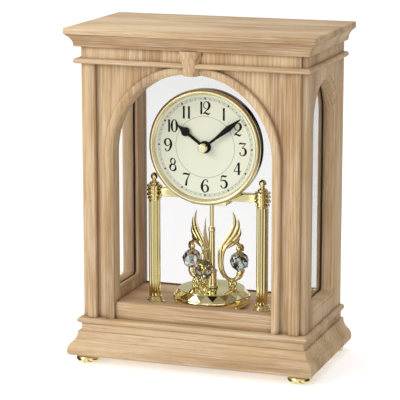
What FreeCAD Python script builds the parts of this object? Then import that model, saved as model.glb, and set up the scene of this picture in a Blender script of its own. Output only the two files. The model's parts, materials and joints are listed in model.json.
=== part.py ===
import FreeCAD, Part
import math
import os
import Sketcher

# Mantel clock with an arched wooden case, a drum-shaped clock head on two brass columns
# and a revolving pendulum.
# Frame: millimetres, +Z up, front towards -Y, origin under the middle of the overall
# box, on the plane that the four feet stand on.

SIZES = [
    # Case: the front panel is the plane that the pilasters and mouldings stand proud of.
    ("case_half", 106.6), ("panel_y", -52.2), ("back_y", 68.05), ("proud", 4.65),
    ("frame_t", 13.0), ("wall_t", 17.3), ("rebate", 7.5), ("case_top", 294.8),
    # Feet and base.
    ("foot_h", 8.0), ("foot_r", 11.5), ("foot_in", 15.5), ("stud_r", 2.5),
    ("plinth_h", 29.4), ("plinth_off", 11.2), ("neck_off", 0.6), ("step_off", 3.3),
    ("board_h", 5.5), ("board_off", 3.9), ("floor_t", 6.1), ("rail_h", 15.5),
    # Front arch, its band, the pilasters, the keystone, the frieze and the astragal.
    ("arch_r", 75.5), ("arch_z", 198.0), ("band_r", 83.5),
    ("pilaster_in", 91.8), ("pilaster_w", 10.0), ("edge_round", 1.8), ("band_slope", 2.2),
    ("astragal_z", 279.3), ("astragal_h", 4.8), ("astragal_off", 4.6),
    ("key_z", 272.3), ("key_back_low", 7.2), ("key_back_high", 12.0),
    ("key_face_low", 5.0), ("key_face_high", 8.0),
    ("key_out_low", 3.25), ("key_out_high", 6.65), ("key_bevel", 1.3),
    # Cornice and top.
    ("cornice_h", 11.4), ("cornice_low", 4.0), ("cornice_high", 9.8),
    ("top_h", 5.8), ("top_off", 11.0), ("ceiling_t", 10.8), ("back_rail_h", 14.8),
    # Side windows: the opening, its moulded edge, the glass and the inner bead.
    ("window_y", 7.8), ("window_half", 36.2), ("window_z", 61.5), ("spring_z", 228.8),
    ("window_round", 4.0), ("window_step", 4.2), ("step_deep", 0.8), ("bead_round", 3.4),
    ("rebate_w", 3.6), ("glass_x", 92.2), ("glass_t", 2.0), ("glass_gap", 0.6),
    # Back door, its pivots, knob and catch.
    ("door_y", 60.0), ("door_t", 3.0), ("door_gap", 0.6), ("door_low", 50.2),
    ("pivot_x", 84.0), ("pivot_r", 1.5), ("pivot_play", 0.05), ("pivot_deep", 3.5),
    ("clip_w", 10.9), ("clip_t", 6.0), ("clip_h", 8.0), ("knob_r", 5.0), ("knob_x", 80.0),
    ("knob_z", 263.0), ("catch_h", 14.0),
    # Columns and cross bar.
    ("column_x", 52.6), ("column_y", -9.0), ("shaft_r", 5.5), ("flute_r", 0.75),
    ("column_base_h", 21.0), ("shaft_h", 79.0), ("capital_r", 7.2), ("flange_r", 9.3),
    ("bar_z", 152.0), ("bar_h", 7.5), ("bar_y", -11.0), ("bar_t", 8.0),
    # Clock head.
    ("dial_z", 202.0), ("dial_y", -17.5), ("dial_t", 1.0), ("dial_r", 50.4),
    ("drum_r", 52.8), ("drum_in", 50.6), ("drum_back_y", -7.0), ("drum_back_t", 2.0),
    ("bezel_r", 53.8), ("bezel_in", 48.3), ("crest_r", 50.8), ("crest_y", -22.0),
    # Movement, motion work and hands.
    ("case_w", 56.0), ("movement_t", 16.0), ("shell_t", 2.0), ("bay_h", 15.3),
    ("bush_r", 4.0), ("pipe_r", 2.5), ("arbor_r", 1.7), ("play", 0.06), ("pivot_pin_r", 0.9),
    ("wheel_gap", 9.6), ("pinion_teeth", 12), ("motion_teeth", 36),
    ("small_teeth", 10), ("hour_teeth", 40),
    ("hour_deg", 306.5), ("minute_deg", 51.4), ("hour_len", 34.5), ("minute_len", 44.4),
    ("hand_t", 0.6), ("cap_r", 4.1), ("cap_len", 4.9), ("cell_r", 7.1), ("cell_len", 49.0),
    # Revolving pendulum.
    ("axis_y", 2.0), ("spindle_r", 1.9), ("rod_r", 3.0), ("disc_z", 49.8), ("disc_h", 16.0),
    ("disc_r", 36.3), ("plate_r", 31.0), ("hang_z", 146.0), ("rotor_r", 6.5),
    ("swan_r", 20.6), ("ring_a", 10.2), ("ring_b", 18.7), ("ring_z", 89.6), ("ring_tube", 1.4),
    ("wing_z", 136.0), ("crystal_r", 8.3), ("crystal_at", 27.3), ("first_deg", 33.0),
]

doc = FreeCAD.newDocument("mantel_clock")
sheet = doc.addObject("Spreadsheet::Sheet", "sizes")
for row, (alias, number) in enumerate(SIZES, start=1):
    sheet.set(f"A{row}", alias)
    sheet.set(f"B{row}", str(number))
    sheet.setAlias(f"B{row}", alias)
doc.recompute()


class Size:
    """A dimension that knows both its number and the sheet expression behind it."""

    def __init__(self, value, text):
        self.value = value
        self.text = text

    def join(self, other, sign, swap=False):
        a, b = (as_size(other), self) if swap else (self, as_size(other))
        result = {
            "+": lambda: a.value + b.value,
            "-": lambda: a.value - b.value,
            "*": lambda: a.value * b.value,
            "/": lambda: a.value / b.value,
        }[sign]()
        return Size(result, f"({a.text} {sign} {b.text})")

    def __add__(self, other):
        return self.join(other, "+")

    def __radd__(self, other):
        return self.join(other, "+", swap=True)

    def __sub__(self, other):
        return self.join(other, "-")

    def __rsub__(self, other):
        return self.join(other, "-", swap=True)

    def __mul__(self, other):
        return self.join(other, "*")

    def __rmul__(self, other):
        return self.join(other, "*", swap=True)

    def __truediv__(self, other):
        return self.join(other, "/")

    def __neg__(self):
        return self.join(-1, "*")


def as_size(number):
    return number if isinstance(number, Size) else Size(float(number), f"{float(number):.6g}")


class Sheet:
    """The sheet's cells as attributes: s.arch_r is the Size of the cell arch_r."""

    def __getattr__(self, alias):
        return Size(float(getattr(sheet, alias)), f"sizes.{alias}")


s = Sheet()
mould_y = s.panel_y - s.proud
frame_back = s.panel_y + s.frame_t
wall_in = s.case_half - s.wall_t
case_z = s.foot_h + s.plinth_h + s.board_h
floor_z = case_z + s.floor_t
rail_z = case_z + s.rail_h
move_front = s.dial_y + s.dial_t
move_back = move_front + s.movement_t
bar_back = s.bar_y + s.bar_t
FULL_TURN = 360.0

nodes = {}


# ---- Helpers ------------------------------------------------------------------------

def bind(thing, prop, number):
    thing.setExpression(prop, as_size(number).text)


def place(thing, at, rotation=None):
    if rotation is not None:
        thing.Placement = FreeCAD.Placement(FreeCAD.Vector(), rotation)
    for name, number in zip("xyz", at):
        bind(thing, f"Placement.Base.{name}", number)
    return thing


def box(name, x, y, z):
    """A block between the pairs of limits x, y and z."""
    thing = doc.addObject("Part::Box", name)
    for prop, (low, high) in zip(("Length", "Width", "Height"), (x, y, z)):
        bind(thing, prop, as_size(high) - low)
    return place(thing, (x[0], y[0], z[0]))


TURN = {
    "X": FreeCAD.Rotation(FreeCAD.Vector(0, 1, 0), 90),
    "Y": FreeCAD.Rotation(FreeCAD.Vector(1, 0, 0), -90),
    "Z": FreeCAD.Rotation(),
}


def rod(name, axis, radius, at, length):
    """A cylinder that runs from the point at along +X, +Y or +Z."""
    thing = doc.addObject("Part::Cylinder", name)
    bind(thing, "Radius", radius)
    bind(thing, "Height", length)
    return place(thing, at, TURN[axis])


def cut(name, base, *tools):
    for number, tool in enumerate(tools, start=1):
        result = doc.addObject("Part::Cut", f"{name}_cut{number}")
        result.Base = base
        result.Tool = tool
        base = result
    return base


def group(name, pieces, kind="Part::MultiFuse"):
    result = doc.addObject(kind, name)
    if kind == "Part::Compound":
        result.Links = pieces
    else:
        result.Shapes = pieces
    return result


def common(name, first, second):
    result = doc.addObject("Part::Common", name)
    result.Base = first
    result.Tool = second
    return result


def arc_middle(start, end, radius, side):
    """The middle of the arc from start to end, with its centre on the left for side 1."""
    dx, dy = end[0] - start[0], end[1] - start[1]
    chord = math.hypot(dx, dy)
    rise = math.sqrt(max(radius ** 2 - chord ** 2 / 4, 0.0))
    reach = side * (rise - radius) / chord
    return ((start[0] + end[0]) / 2 - dy * reach, (start[1] + end[1]) / 2 + dx * reach)


def vector(point):
    return FreeCAD.Vector(point[0], point[1], 0)


def draw(sketch, outline):
    """Draw one closed outline. A corner is (x, y), or (x, y, radius, side) when the
    edge that leaves it is an arc."""
    spots = [(as_size(c[0]), as_size(c[1])) for c in outline]
    edges = []
    for number, corner in enumerate(outline):
        start = tuple(p.value for p in spots[number])
        end = tuple(p.value for p in spots[(number + 1) % len(spots)])
        if len(corner) == 2:
            curve = Part.LineSegment(vector(start), vector(end))
        else:
            middle = arc_middle(start, end, as_size(corner[2]).value, corner[3])
            curve = Part.Arc(vector(start), vector(middle), vector(end))
        edge = sketch.addGeometry(curve)
        first = sketch.getPoint(edge, 1)
        forward = math.hypot(first.x - start[0], first.y - start[1]) < 1e-6
        edges.append((edge, (1, 2) if forward else (2, 1)))
    for number, corner in enumerate(outline):
        edge, (head, tail) = edges[number]
        after, (after_head, _) = edges[(number + 1) % len(edges)]
        sketch.addConstraint(Sketcher.Constraint("Coincident", edge, tail, after, after_head))
        for kind, spot in zip(("DistanceX", "DistanceY"), spots[number]):
            rule = Sketcher.Constraint(kind, edge, head, spot.value)
            bind(sketch, f"Constraints[{sketch.addConstraint(rule)}]", spot)
        if len(corner) == 4:
            rule = Sketcher.Constraint("Radius", edge, as_size(corner[2]).value)
            bind(sketch, f"Constraints[{sketch.addConstraint(rule)}]", corner[2])


def sketch_on(body, plane, outlines):
    sketch = body.newObject("Sketcher::SketchObject", f"{body.Name}_sketch")
    origin = [item for item in body.Origin.OriginFeatures if item.Role == plane][0]
    sketch.AttachmentSupport = [(origin, "")]
    sketch.MapMode = "FlatFace"
    for outline in outlines:
        draw(sketch, outline)
    return sketch


def padded(name, plane, outlines, length, at=(0, 0, 0)):
    """A body padded from sketches: along -Y on XZ_Plane, +X on YZ_Plane, +Z on XY_Plane."""
    body = doc.addObject("PartDesign::Body", name)
    sketch = sketch_on(body, plane, outlines)
    pad = body.newObject("PartDesign::Pad", f"{name}_pad")
    pad.Profile = sketch
    bind(pad, "Length", length)
    sketch.Visibility = False
    return place(body, at)


def turned(name, outline, axis="Z", at=(0, 0, 0)):
    """A body of revolution: outline corners are (radius, height along the axis)."""
    body = doc.addObject("PartDesign::Body", name)
    sketch = sketch_on(body, "XZ_Plane" if axis == "Z" else "XY_Plane", [outline])
    spin = body.newObject("PartDesign::Revolution", f"{name}_turn")
    spin.Profile = sketch
    spin.ReferenceAxis = (sketch, ["V_Axis"])
    spin.Angle = FULL_TURN
    return place(body, at)


def dressed(body, kind, prop, size, wanted):
    """Round or bevel the edges of a body whose bounding box passes the test wanted."""
    doc.recompute()
    tip = body.Tip
    placed = tip.Shape.copy()
    placed.Placement = body.Placement.multiply(placed.Placement)
    names = [f"Edge{n}" for n, edge in enumerate(placed.Edges, start=1) if wanted(edge.BoundBox)]
    dressing = body.newObject(kind, f"{body.Name}_edge")
    dressing.Base = (tip, names)
    bind(dressing, prop, size)
    return body


def round_edges(body, radius, wanted):
    return dressed(body, "PartDesign::Fillet", "Radius", radius, wanted)


def bevel_edges(body, size, wanted):
    return dressed(body, "PartDesign::Chamfer", "Size", size, wanted)


def near(a, b):
    return abs(a - b) < 0.01


def keep(label, thing):
    """Make a finished piece one of the model's nodes."""
    thing.Label = label
    nodes[label] = thing
    return thing


# ---- Mouldings round the front and both sides of the case ---------------------------

def moulding(name, low, section):
    """A board with the section (offset, height, ...) worked along its front and sides.
    Offsets are from the mould plane in front and from the case's sides; mitres come
    from the two crossing runs. The back is flush."""
    rise = [(s.case_half + c[0], low + c[1]) + tuple(c[2:]) for c in section]
    across = rise + mirrored(rise, lambda x: -x)
    front = mirrored(rise, lambda x: mould_y + s.case_half - x)
    top = low + section[-1][1]
    along = [(s.back_y, low), (s.back_y, top)] + front
    reach = 2 * (s.case_half + s.plinth_off)
    side_run = padded(f"{name}_sides", "XZ_Plane", [across], reach, (0, s.case_half, 0))
    front_run = padded(f"{name}_front", "YZ_Plane", [along], reach, (-reach / 2, 0, 0))
    return common(name, side_run, front_run)


def mirrored(path, flip):
    """The same path run backwards with its x mirrored; arcs keep the side they bend to."""
    back = []
    for number in range(len(path) - 1, -1, -1):
        x, z = path[number][0], path[number][1]
        arc = path[number - 1][2:] if number > 0 else ()
        back.append((flip(x), z) + tuple(arc))
    return back


def nosing(offset, height):
    """A flat board's section with a full half-round edge."""
    radius = height / 2
    return [(offset - radius, 0, radius, 1), (offset, radius, radius, 1), (offset - radius, height)]


def base():
    ogee = [
        (s.plinth_off - 1.6, 0, 3.43, 1), (s.plinth_off, 2.9), (s.plinth_off, 4.2, 9.0, 1),
        (8.0, 11.8, 12.0, -1), (s.step_off, 20.3), (s.step_off, 22.2),
        (s.neck_off, 22.2), (s.neck_off, s.plinth_h),
    ]
    plinth = moulding("plinth", s.foot_h, ogee)
    holes = group("stud_holes", studs("hole"))
    keep("base_plinth", cut("base_plinth", plinth, holes))
    keep("base_board", moulding("base_board", s.foot_h + s.plinth_h, nosing(s.board_off, s.board_h)))
    floor = box("floor", (-wall_in, wall_in), (frame_back, s.door_y + s.door_t), (case_z, floor_z))
    socket = rod("floor_socket", "Z", s.pivot_r + s.pivot_play,
                 (s.pivot_x, s.door_y + s.door_t / 2, floor_z - s.pivot_deep), s.pivot_deep)
    keep("floor_board", cut("floor_board", floor, socket))


def foot_places():
    side = s.case_half + s.plinth_off - s.foot_in
    front = mould_y - s.plinth_off + s.foot_in
    back = s.back_y - s.foot_in
    return [(x, y) for x in (-side, side) for y in (front, back)]


STUD_DEEP = 4.0
STUD_LENGTH = 20.0


def studs(prefix):
    return [rod(f"{prefix}_{n}", "Z", s.stud_r, (x, y, s.foot_h - STUD_DEEP), STUD_LENGTH)
            for n, (x, y) in enumerate(foot_places())]


def feet():
    bun = [(0, 0), (s.foot_r - 3.0, 0, 3.0, 1), (s.foot_r, 3.0, 5.0, 1), (s.foot_r - 2.0, 7.0),
           (s.foot_r - 2.0, s.foot_h), (0, s.foot_h)]
    buns = [turned(f"bun_{n}", bun, at=(x, y, 0)) for n, (x, y) in enumerate(foot_places())]
    holes = studs("bun_hole")
    drilled = [cut(f"foot_{n}", bun, hole) for n, (bun, hole) in enumerate(zip(buns, holes))]
    keep("feet", group("feet", drilled, "Part::Compound"))
    keep("foot_studs", group("foot_studs", studs("stud"), "Part::Compound"))


# ---- Front of the case --------------------------------------------------------------

def arch(radius, low):
    """The right half then the left half of an arched opening, from its right foot."""
    return [(radius, low), (radius, s.arch_z, radius, 1), (0, s.arch_z + radius, radius, 1),
            (-radius, s.arch_z), (-radius, low)]


def front_frame():
    side = s.case_half - s.wall_t + s.rebate
    opening = arch(s.arch_r, case_z)
    outline = [(side, case_z), (side, s.case_top), (-side, s.case_top), (-side, case_z)]
    keep("front_frame", padded("front_frame", "XZ_Plane", [outline + opening], s.frame_t,
                               (0, frame_back, 0)))
    rail = padded("front_rail", "XZ_Plane",
                  [[(-s.arch_r, case_z), (s.arch_r, case_z), (s.arch_r, rail_z), (-s.arch_r, rail_z)]],
                  s.frame_t, (0, frame_back, 0))
    top_edge = (s.panel_y.value, rail_z.value)
    keep("front_rail", round_edges(rail, s.edge_round, lambda b: near(b.ZMin, top_edge[1])
                                   and near(b.YMax, top_edge[0])))


def pilasters():
    front = mould_y.value
    for side, sign in (("left", -1), ("right", 1)):
        inner, outer = sign * s.pilaster_in, sign * (s.pilaster_in + s.pilaster_w)
        low, high = (inner, outer) if sign > 0 else (outer, inner)
        strip = padded(f"{side}_pilaster", "XZ_Plane",
                       [[(low, case_z), (high, case_z), (high, s.astragal_z), (low, s.astragal_z)]],
                       s.proud, (0, s.panel_y, 0))
        keep(f"{side}_pilaster", round_edges(
            strip, s.edge_round, lambda b: near(b.YMax, front) and b.ZLength > 1))


def key_half(z):
    """Half the keystone's width at the height z, where it meets the band."""
    share = (z - s.key_z) / (s.case_top - s.key_z)
    return s.key_back_low + (s.key_back_high - s.key_back_low) * share


def arch_bands():
    """Each half of the arch band: a leg and a quarter arch that ends behind the keystone."""
    front = mould_y.value
    crown = s.astragal_z
    reach = math.sqrt(s.band_r.value ** 2 - (crown - s.arch_z).value ** 2)
    stop = key_half(s.arch_z + s.arch_r - 0.36)
    stop_z = math.sqrt(s.arch_r.value ** 2 - stop.value ** 2) + s.arch_z.value
    stop_high = key_half(crown)
    for side, sign in (("left", -1), ("right", 1)):
        half = [(s.arch_r, case_z), (s.band_r, case_z), (s.band_r, s.arch_z, s.band_r, 1),
                (reach, crown), (stop_high, crown), (stop, stop_z, s.arch_r, -1),
                (s.arch_r, s.arch_z)]
        outline = half if sign > 0 else mirrored(half, lambda x: -x)
        band = padded(f"{side}_arch_band", "XZ_Plane", [outline], s.proud, (0, s.panel_y, 0))
        outer = (s.band_r - 0.5).value
        inner = (s.arch_r + 0.5).value

        def on_face(b):
            return near(b.YMax, front) and (b.ZLength > 1)

        def outside(b):
            far = max(abs(b.XMin), abs(b.XMax))
            return on_face(b) and far > outer

        def inside(b):
            far = max(abs(b.XMin), abs(b.XMax))
            return on_face(b) and inner > far > 2 * stop.value

        round_edges(band, s.edge_round, outside)
        bevel_edges(band, s.band_slope, inside)
        keep(f"{side}_arch_band", band)


def keystone():
    """A tapered block, wider and further forward at its top, with bevelled front edges."""
    def level(name, z, back, face, out):
        body = doc.addObject("Part::Feature", name)
        front = mould_y - out
        corners = [
            (back, s.panel_y), (back, mould_y), (face, front + s.key_bevel),
            (face - s.key_bevel, front), (-face + s.key_bevel, front),
            (-face, front + s.key_bevel), (-back, mould_y), (-back, s.panel_y),
        ]
        points = [FreeCAD.Vector(as_size(x).value, as_size(y).value, as_size(z).value)
                  for x, y in corners]
        body.Shape = Part.makePolygon(points + points[:1])
        return body

    sections = [
        level("key_low", s.key_z, s.key_back_low, s.key_face_low, s.key_out_low),
        level("key_high", s.case_top, s.key_back_high, s.key_face_high, s.key_out_high),
    ]
    block = doc.addObject("Part::Loft", "key_block")
    block.Sections = sections
    block.Solid = True
    block.Ruled = True
    return block


def crown_pieces():
    """Keystone, frieze board and top astragal, which all meet over the arch."""
    frieze_low = s.astragal_z
    side = s.pilaster_in + s.pilaster_w
    key = keystone()
    behind = box("frieze_seat", (-side, side), (mould_y, s.panel_y + 1), (frieze_low, s.case_top + 1))
    keep("keystone", cut("keystone", key, behind))
    keep("frieze_board", box("frieze_board", (-side, side), (mould_y, s.panel_y),
                             (frieze_low, s.case_top)))
    ring = moulding("astragal", frieze_low, nosing(s.astragal_off, s.astragal_h))
    core = box("astragal_core", (-s.case_half, s.case_half), (mould_y, s.back_y + 1),
               (frieze_low - 1, frieze_low + s.astragal_h + 1))
    keep("top_astragal", cut("top_astragal", ring, core, key))


def cornice():
    cove = [(s.cornice_low, 0), (s.cornice_low, 0.6, 12.0, -1),
            (s.cornice_high, s.cornice_h - 0.8), (s.cornice_high, s.cornice_h)]
    keep("cornice_board", moulding("cornice_board", s.case_top, cove))
    edge = [(s.top_off - 0.3, 0), (s.top_off, 0.4), (s.top_off, s.top_h - 0.6),
            (s.top_off - 0.5, s.top_h)]
    keep("top_board", moulding("top_board", s.case_top + s.cornice_h, edge))


# ---- Sides, ceiling and back --------------------------------------------------------

def window(grow, low=None):
    """The outline of a side window, its opening grown by grow all round."""
    half = s.window_half + grow
    foot = s.window_z - grow
    corner = s.window_round + grow
    centre = s.window_y
    return [
        (centre - half, foot + corner, corner, 1), (centre - half + corner, foot),
        (centre + half - corner, foot, corner, 1), (centre + half, foot + corner),
        (centre + half, s.spring_z, half, 1), (centre, s.spring_z + half, half, 1),
        (centre - half, s.spring_z),
    ]


def side_walls():
    for side, sign in (("left", -1), ("right", 1)):
        outer_x = sign * s.case_half
        inner_x = sign * wall_in
        low_x = inner_x if sign > 0 else outer_x
        wall = [(s.panel_y, case_z), (s.back_y, case_z), (s.back_y, s.case_top),
                (s.panel_y, s.case_top)]
        panel = padded(f"{side}_wall", "YZ_Plane", [wall, window(0)], s.wall_t, (low_x, 0, 0))
        outer_face = outer_x.value
        edge_low = (s.window_z - 1).value
        rounded = round_edges(
            panel, s.bead_round,
            lambda b: near(b.XMin, outer_face) and near(b.XMax, outer_face)
            and b.ZMin > edge_low and b.ZMax < (s.spring_z + s.window_half + 1).value)
        step_x = outer_x - s.step_deep if sign > 0 else outer_x - 1
        step = padded(f"{side}_step", "YZ_Plane", [window(s.window_step)], s.step_deep + 1,
                      (step_x, 0, 0))
        seat_low = wall_in - 1 if sign > 0 else -s.glass_x - s.glass_t
        seat = padded(f"{side}_seat", "YZ_Plane", [window(s.rebate_w)],
                      s.glass_x + s.glass_t - wall_in + 1, (seat_low, 0, 0))
        frame_x = (wall_in - 1, wall_in + s.rebate) if sign > 0 else (-wall_in - s.rebate, -wall_in + 1)
        notch = box(f"{side}_notch", frame_x, (s.panel_y - 1, frame_back),
                    (case_z - 1, s.case_top + 1))
        keep(f"{side}_side_panel", cut(f"{side}_side_panel", rounded, step, seat, notch))
        pane_x = s.glass_x if sign > 0 else -s.glass_x - s.glass_t
        keep(f"{side}_glass", padded(f"{side}_glass", "YZ_Plane", [window(s.rebate_w - s.glass_gap)],
                                     s.glass_t, (pane_x, 0, 0)))
        bead_x = wall_in if sign > 0 else -s.glass_x
        keep(f"{side}_glass_bead", padded(f"{side}_glass_bead", "YZ_Plane",
                                          [window(s.rebate_w), window(0)],
                                          s.glass_x - wall_in, (bead_x, 0, 0)))


def ceiling_and_back():
    rail_y = s.back_y - s.frame_t
    keep("ceiling_board", box("ceiling_board", (-wall_in, wall_in), (frame_back, rail_y),
                              (s.case_top - s.ceiling_t, s.case_top)))
    rail = box("top_rail", (-wall_in, wall_in), (rail_y, s.back_y),
               (s.case_top - s.back_rail_h, s.case_top))
    socket = rod("rail_socket", "Z", s.pivot_r + s.pivot_play,
                 (s.pivot_x, s.door_y + s.door_t / 2, s.case_top - s.back_rail_h), s.pivot_deep)
    keep("back_top_rail", cut("back_top_rail", rail, socket))


CLIP_OUT = 3.9
CLIP_UNDER = 0.9
CLIP_OVER = 0.3
PIN_PLAY = 0.3
PIN_ROOT = 0.5


def back_door():
    """The clear door, its two pivot clips and pins, its knob and the catch on the wall."""
    width = wall_in - s.door_gap
    top = s.case_top - s.back_rail_h - s.door_gap
    keep("back_door", box("back_door", (-width, width), (s.door_y, s.door_y + s.door_t),
                          (s.door_low, top)))
    middle = s.door_y + s.door_t / 2
    outer = s.pivot_x + CLIP_OUT
    low, high = s.door_low - CLIP_UNDER, top + CLIP_OVER - s.clip_h
    pin_low = floor_z - s.pivot_deep + PIN_PLAY
    pins = {"low": (pin_low, low - pin_low + PIN_ROOT),
            "high": (top + CLIP_OVER - 0.2, s.pivot_deep)}
    clips = []
    for name, z in (("low", low), ("high", high)):
        block = box(f"clip_{name}", (outer - s.clip_w, outer),
                    (middle - s.clip_t / 2, middle + s.clip_t / 2), (z, z + s.clip_h))
        pane = box(f"clip_slot_{name}", (s.pivot_x - s.clip_w, width),
                   (s.door_y, s.door_y + s.door_t), (s.door_low, top))
        pin_z, pin_length = pins[name]
        pin = rod(f"clip_pin_{name}", "Z", s.pivot_r, (s.pivot_x, middle, pin_z), pin_length)
        clips.append(group(f"pivot_{name}", [cut(f"grip_{name}", block, pane), pin]))
    keep("door_pivots", group("door_pivots", clips, "Part::Compound"))
    knob = [(0, 0), (3.2, 0), (2.4, 1.6, 1.4, -1), (s.knob_r - 0.8, 2.4, 1.0, 1),
            (s.knob_r - 0.8, 4.0), (0, 4.4)]
    keep("door_knob", turned("door_knob", knob, "Y", (-s.knob_x, s.door_y + s.door_t, s.knob_z)))
    keep("door_catch", box("door_catch", (-wall_in, -wall_in + 6), (s.door_y - 9, s.door_y - 0.1),
                           (s.knob_z - s.catch_h / 2, s.knob_z + s.catch_h / 2)))


# ---- Columns and cross bar ----------------------------------------------------------

FINIAL_R = 3.4


def columns():
    foot = [(0, 0), (s.flange_r, 0, 1.6, 1), (s.flange_r - 0.6, 2.4, 4.0, -1), (6.9, 5.6),
            (6.9, 6.6), (6.1, 7.2), (6.1, s.column_base_h), (0, s.column_base_h)]
    capital = [
        (0, 0), (6.4, 0), (6.4, 1.6), (5.6, 2.2), (5.6, 2.8), (s.capital_r, 3.4),
        (s.capital_r, 5.8), (6.4, 6.4), (6.4, 7.0), (s.capital_r, 7.6), (s.capital_r, 9.8),
        (6.4, 10.4), (6.4, 11.0), (7.3, 11.6, 1.1, 1), (7.3, 13.6), (5.6, 14.2, 5.0, -1),
        (2.0, 18.0), (1.7, 18.8, 3.5, 1), (FINIAL_R, 21.5, FINIAL_R, 1), (0, 21.5 + FINIAL_R),
    ]
    shaft_z = floor_z + s.column_base_h
    for side, sign in (("left", -1), ("right", 1)):
        x = sign * s.column_x
        keep(f"{side}_column_base", turned(f"{side}_column_base", foot, at=(x, s.column_y, floor_z)))
        keep(f"{side}_column_shaft", fluted(f"{side}_column_shaft", (x, s.column_y, shaft_z)))
        keep(f"{side}_column_capital", turned(f"{side}_column_capital", capital,
                                              at=(x, s.column_y, shaft_z + s.shaft_h)))


FLUTES = 12


def fluted(name, at):
    """A round shaft with equally spaced flutes that stop short of both ends."""
    body = doc.addObject("PartDesign::Body", name)
    circle = body.newObject("Sketcher::SketchObject", f"{name}_circle")
    plane = [item for item in body.Origin.OriginFeatures if item.Role == "XY_Plane"][0]
    circle.AttachmentSupport = [(plane, "")]
    circle.MapMode = "FlatFace"
    centre = FreeCAD.Vector(0, 0, 0)
    up = FreeCAD.Vector(0, 0, 1)
    edge = circle.addGeometry(Part.Circle(centre, up, s.shaft_r.value))
    circle.addConstraint(Sketcher.Constraint("Coincident", edge, 3, -1, 1))
    rule = Sketcher.Constraint("Radius", edge, s.shaft_r.value)
    bind(circle, f"Constraints[{circle.addConstraint(rule)}]", s.shaft_r)
    shaft = body.newObject("PartDesign::Pad", f"{name}_pad")
    shaft.Profile = circle
    bind(shaft, "Length", s.shaft_h)
    doc.recompute()
    groove = body.newObject("Sketcher::SketchObject", f"{name}_groove")
    groove.AttachmentSupport = [(plane, "")]
    groove.MapMode = "FlatFace"
    spot = FreeCAD.Vector(s.shaft_r.value, 0, 0)
    edge = groove.addGeometry(Part.Circle(spot, up, s.flute_r.value))
    groove.addConstraint(Sketcher.Constraint("PointOnObject", edge, 3, -1))
    for kind, size in (("Radius", s.flute_r), ("DistanceX", s.shaft_r)):
        rule = (Sketcher.Constraint(kind, edge, size.value) if kind == "Radius"
                else Sketcher.Constraint(kind, edge, 3, size.value))
        bind(groove, f"Constraints[{groove.addConstraint(rule)}]", size)
    flute = body.newObject("PartDesign::Pocket", f"{name}_flute")
    flute.Profile = groove
    flute.Reversed = True
    bind(flute, "Length", s.shaft_h)
    doc.recompute()
    pattern = body.newObject("PartDesign::PolarPattern", f"{name}_flutes")
    pattern.Originals = [flute]
    pattern.Axis = (groove, ["N_Axis"])
    pattern.Angle = FULL_TURN
    pattern.Occurrences = FLUTES
    body.Tip = pattern
    return place(body, at)


def cross_bar():
    beam = box("beam", (-s.column_x, s.column_x), (s.bar_y, bar_back), (s.bar_z, s.bar_z + s.bar_h))
    ends = [rod(f"beam_end_{n}", "Z", s.capital_r, (sign * s.column_x, s.column_y, s.bar_z - 5), 20)
            for n, sign in enumerate((-1, 1))]
    drum = rod("beam_drum", "Y", s.drum_r, (0, s.bar_y - 5, s.dial_z),
               s.drum_back_y - s.bar_y + 5)
    keep("cross_bar", cut("cross_bar", beam, *ends, drum))


# ---- Clock head ---------------------------------------------------------------------

def head():
    centre = (0, 0, s.dial_z)
    shell = [(s.drum_in, s.dial_y), (s.drum_r, s.dial_y), (s.drum_r, s.drum_back_y),
             (s.drum_in, s.drum_back_y)]
    keep("drum_case", turned("drum_case", shell, "Y", centre))
    plate = rod("back_plate", "Y", s.drum_in, (0, s.drum_back_y - s.drum_back_t, s.dial_z),
                s.drum_back_t)
    half = s.case_w / 2
    hole = box("back_hole", (-half, half), (s.drum_back_y - 5, s.drum_back_y + 1),
               (s.dial_z - half, s.dial_z + half))
    keep("drum_back", cut("drum_back", plate, hole))
    ring = [
        (s.bezel_in, s.dial_y), (s.bezel_in, s.dial_y - 1.9, 4.0, 1), (s.crest_r, s.crest_y, 4.6, 1),
        (s.bezel_r, s.dial_y - 1.0), (s.bezel_r - 0.6, s.dial_y),
    ]
    keep("bezel", turned("bezel", ring, "Y", centre))
    face = rod("dial_face", "Y", s.dial_r, (0, s.dial_y, s.dial_z), s.dial_t)
    eye = rod("dial_eye", "Y", s.bush_r, (0, s.dial_y - 1, s.dial_z), s.dial_t + 2)
    keep("dial", cut("dial", face, eye))


BUSH_OUT = 2.7
BAY_FLOOR = 0.8
REAR_PIVOT_R = 0.8
WHEEL_T = 1.2


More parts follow.
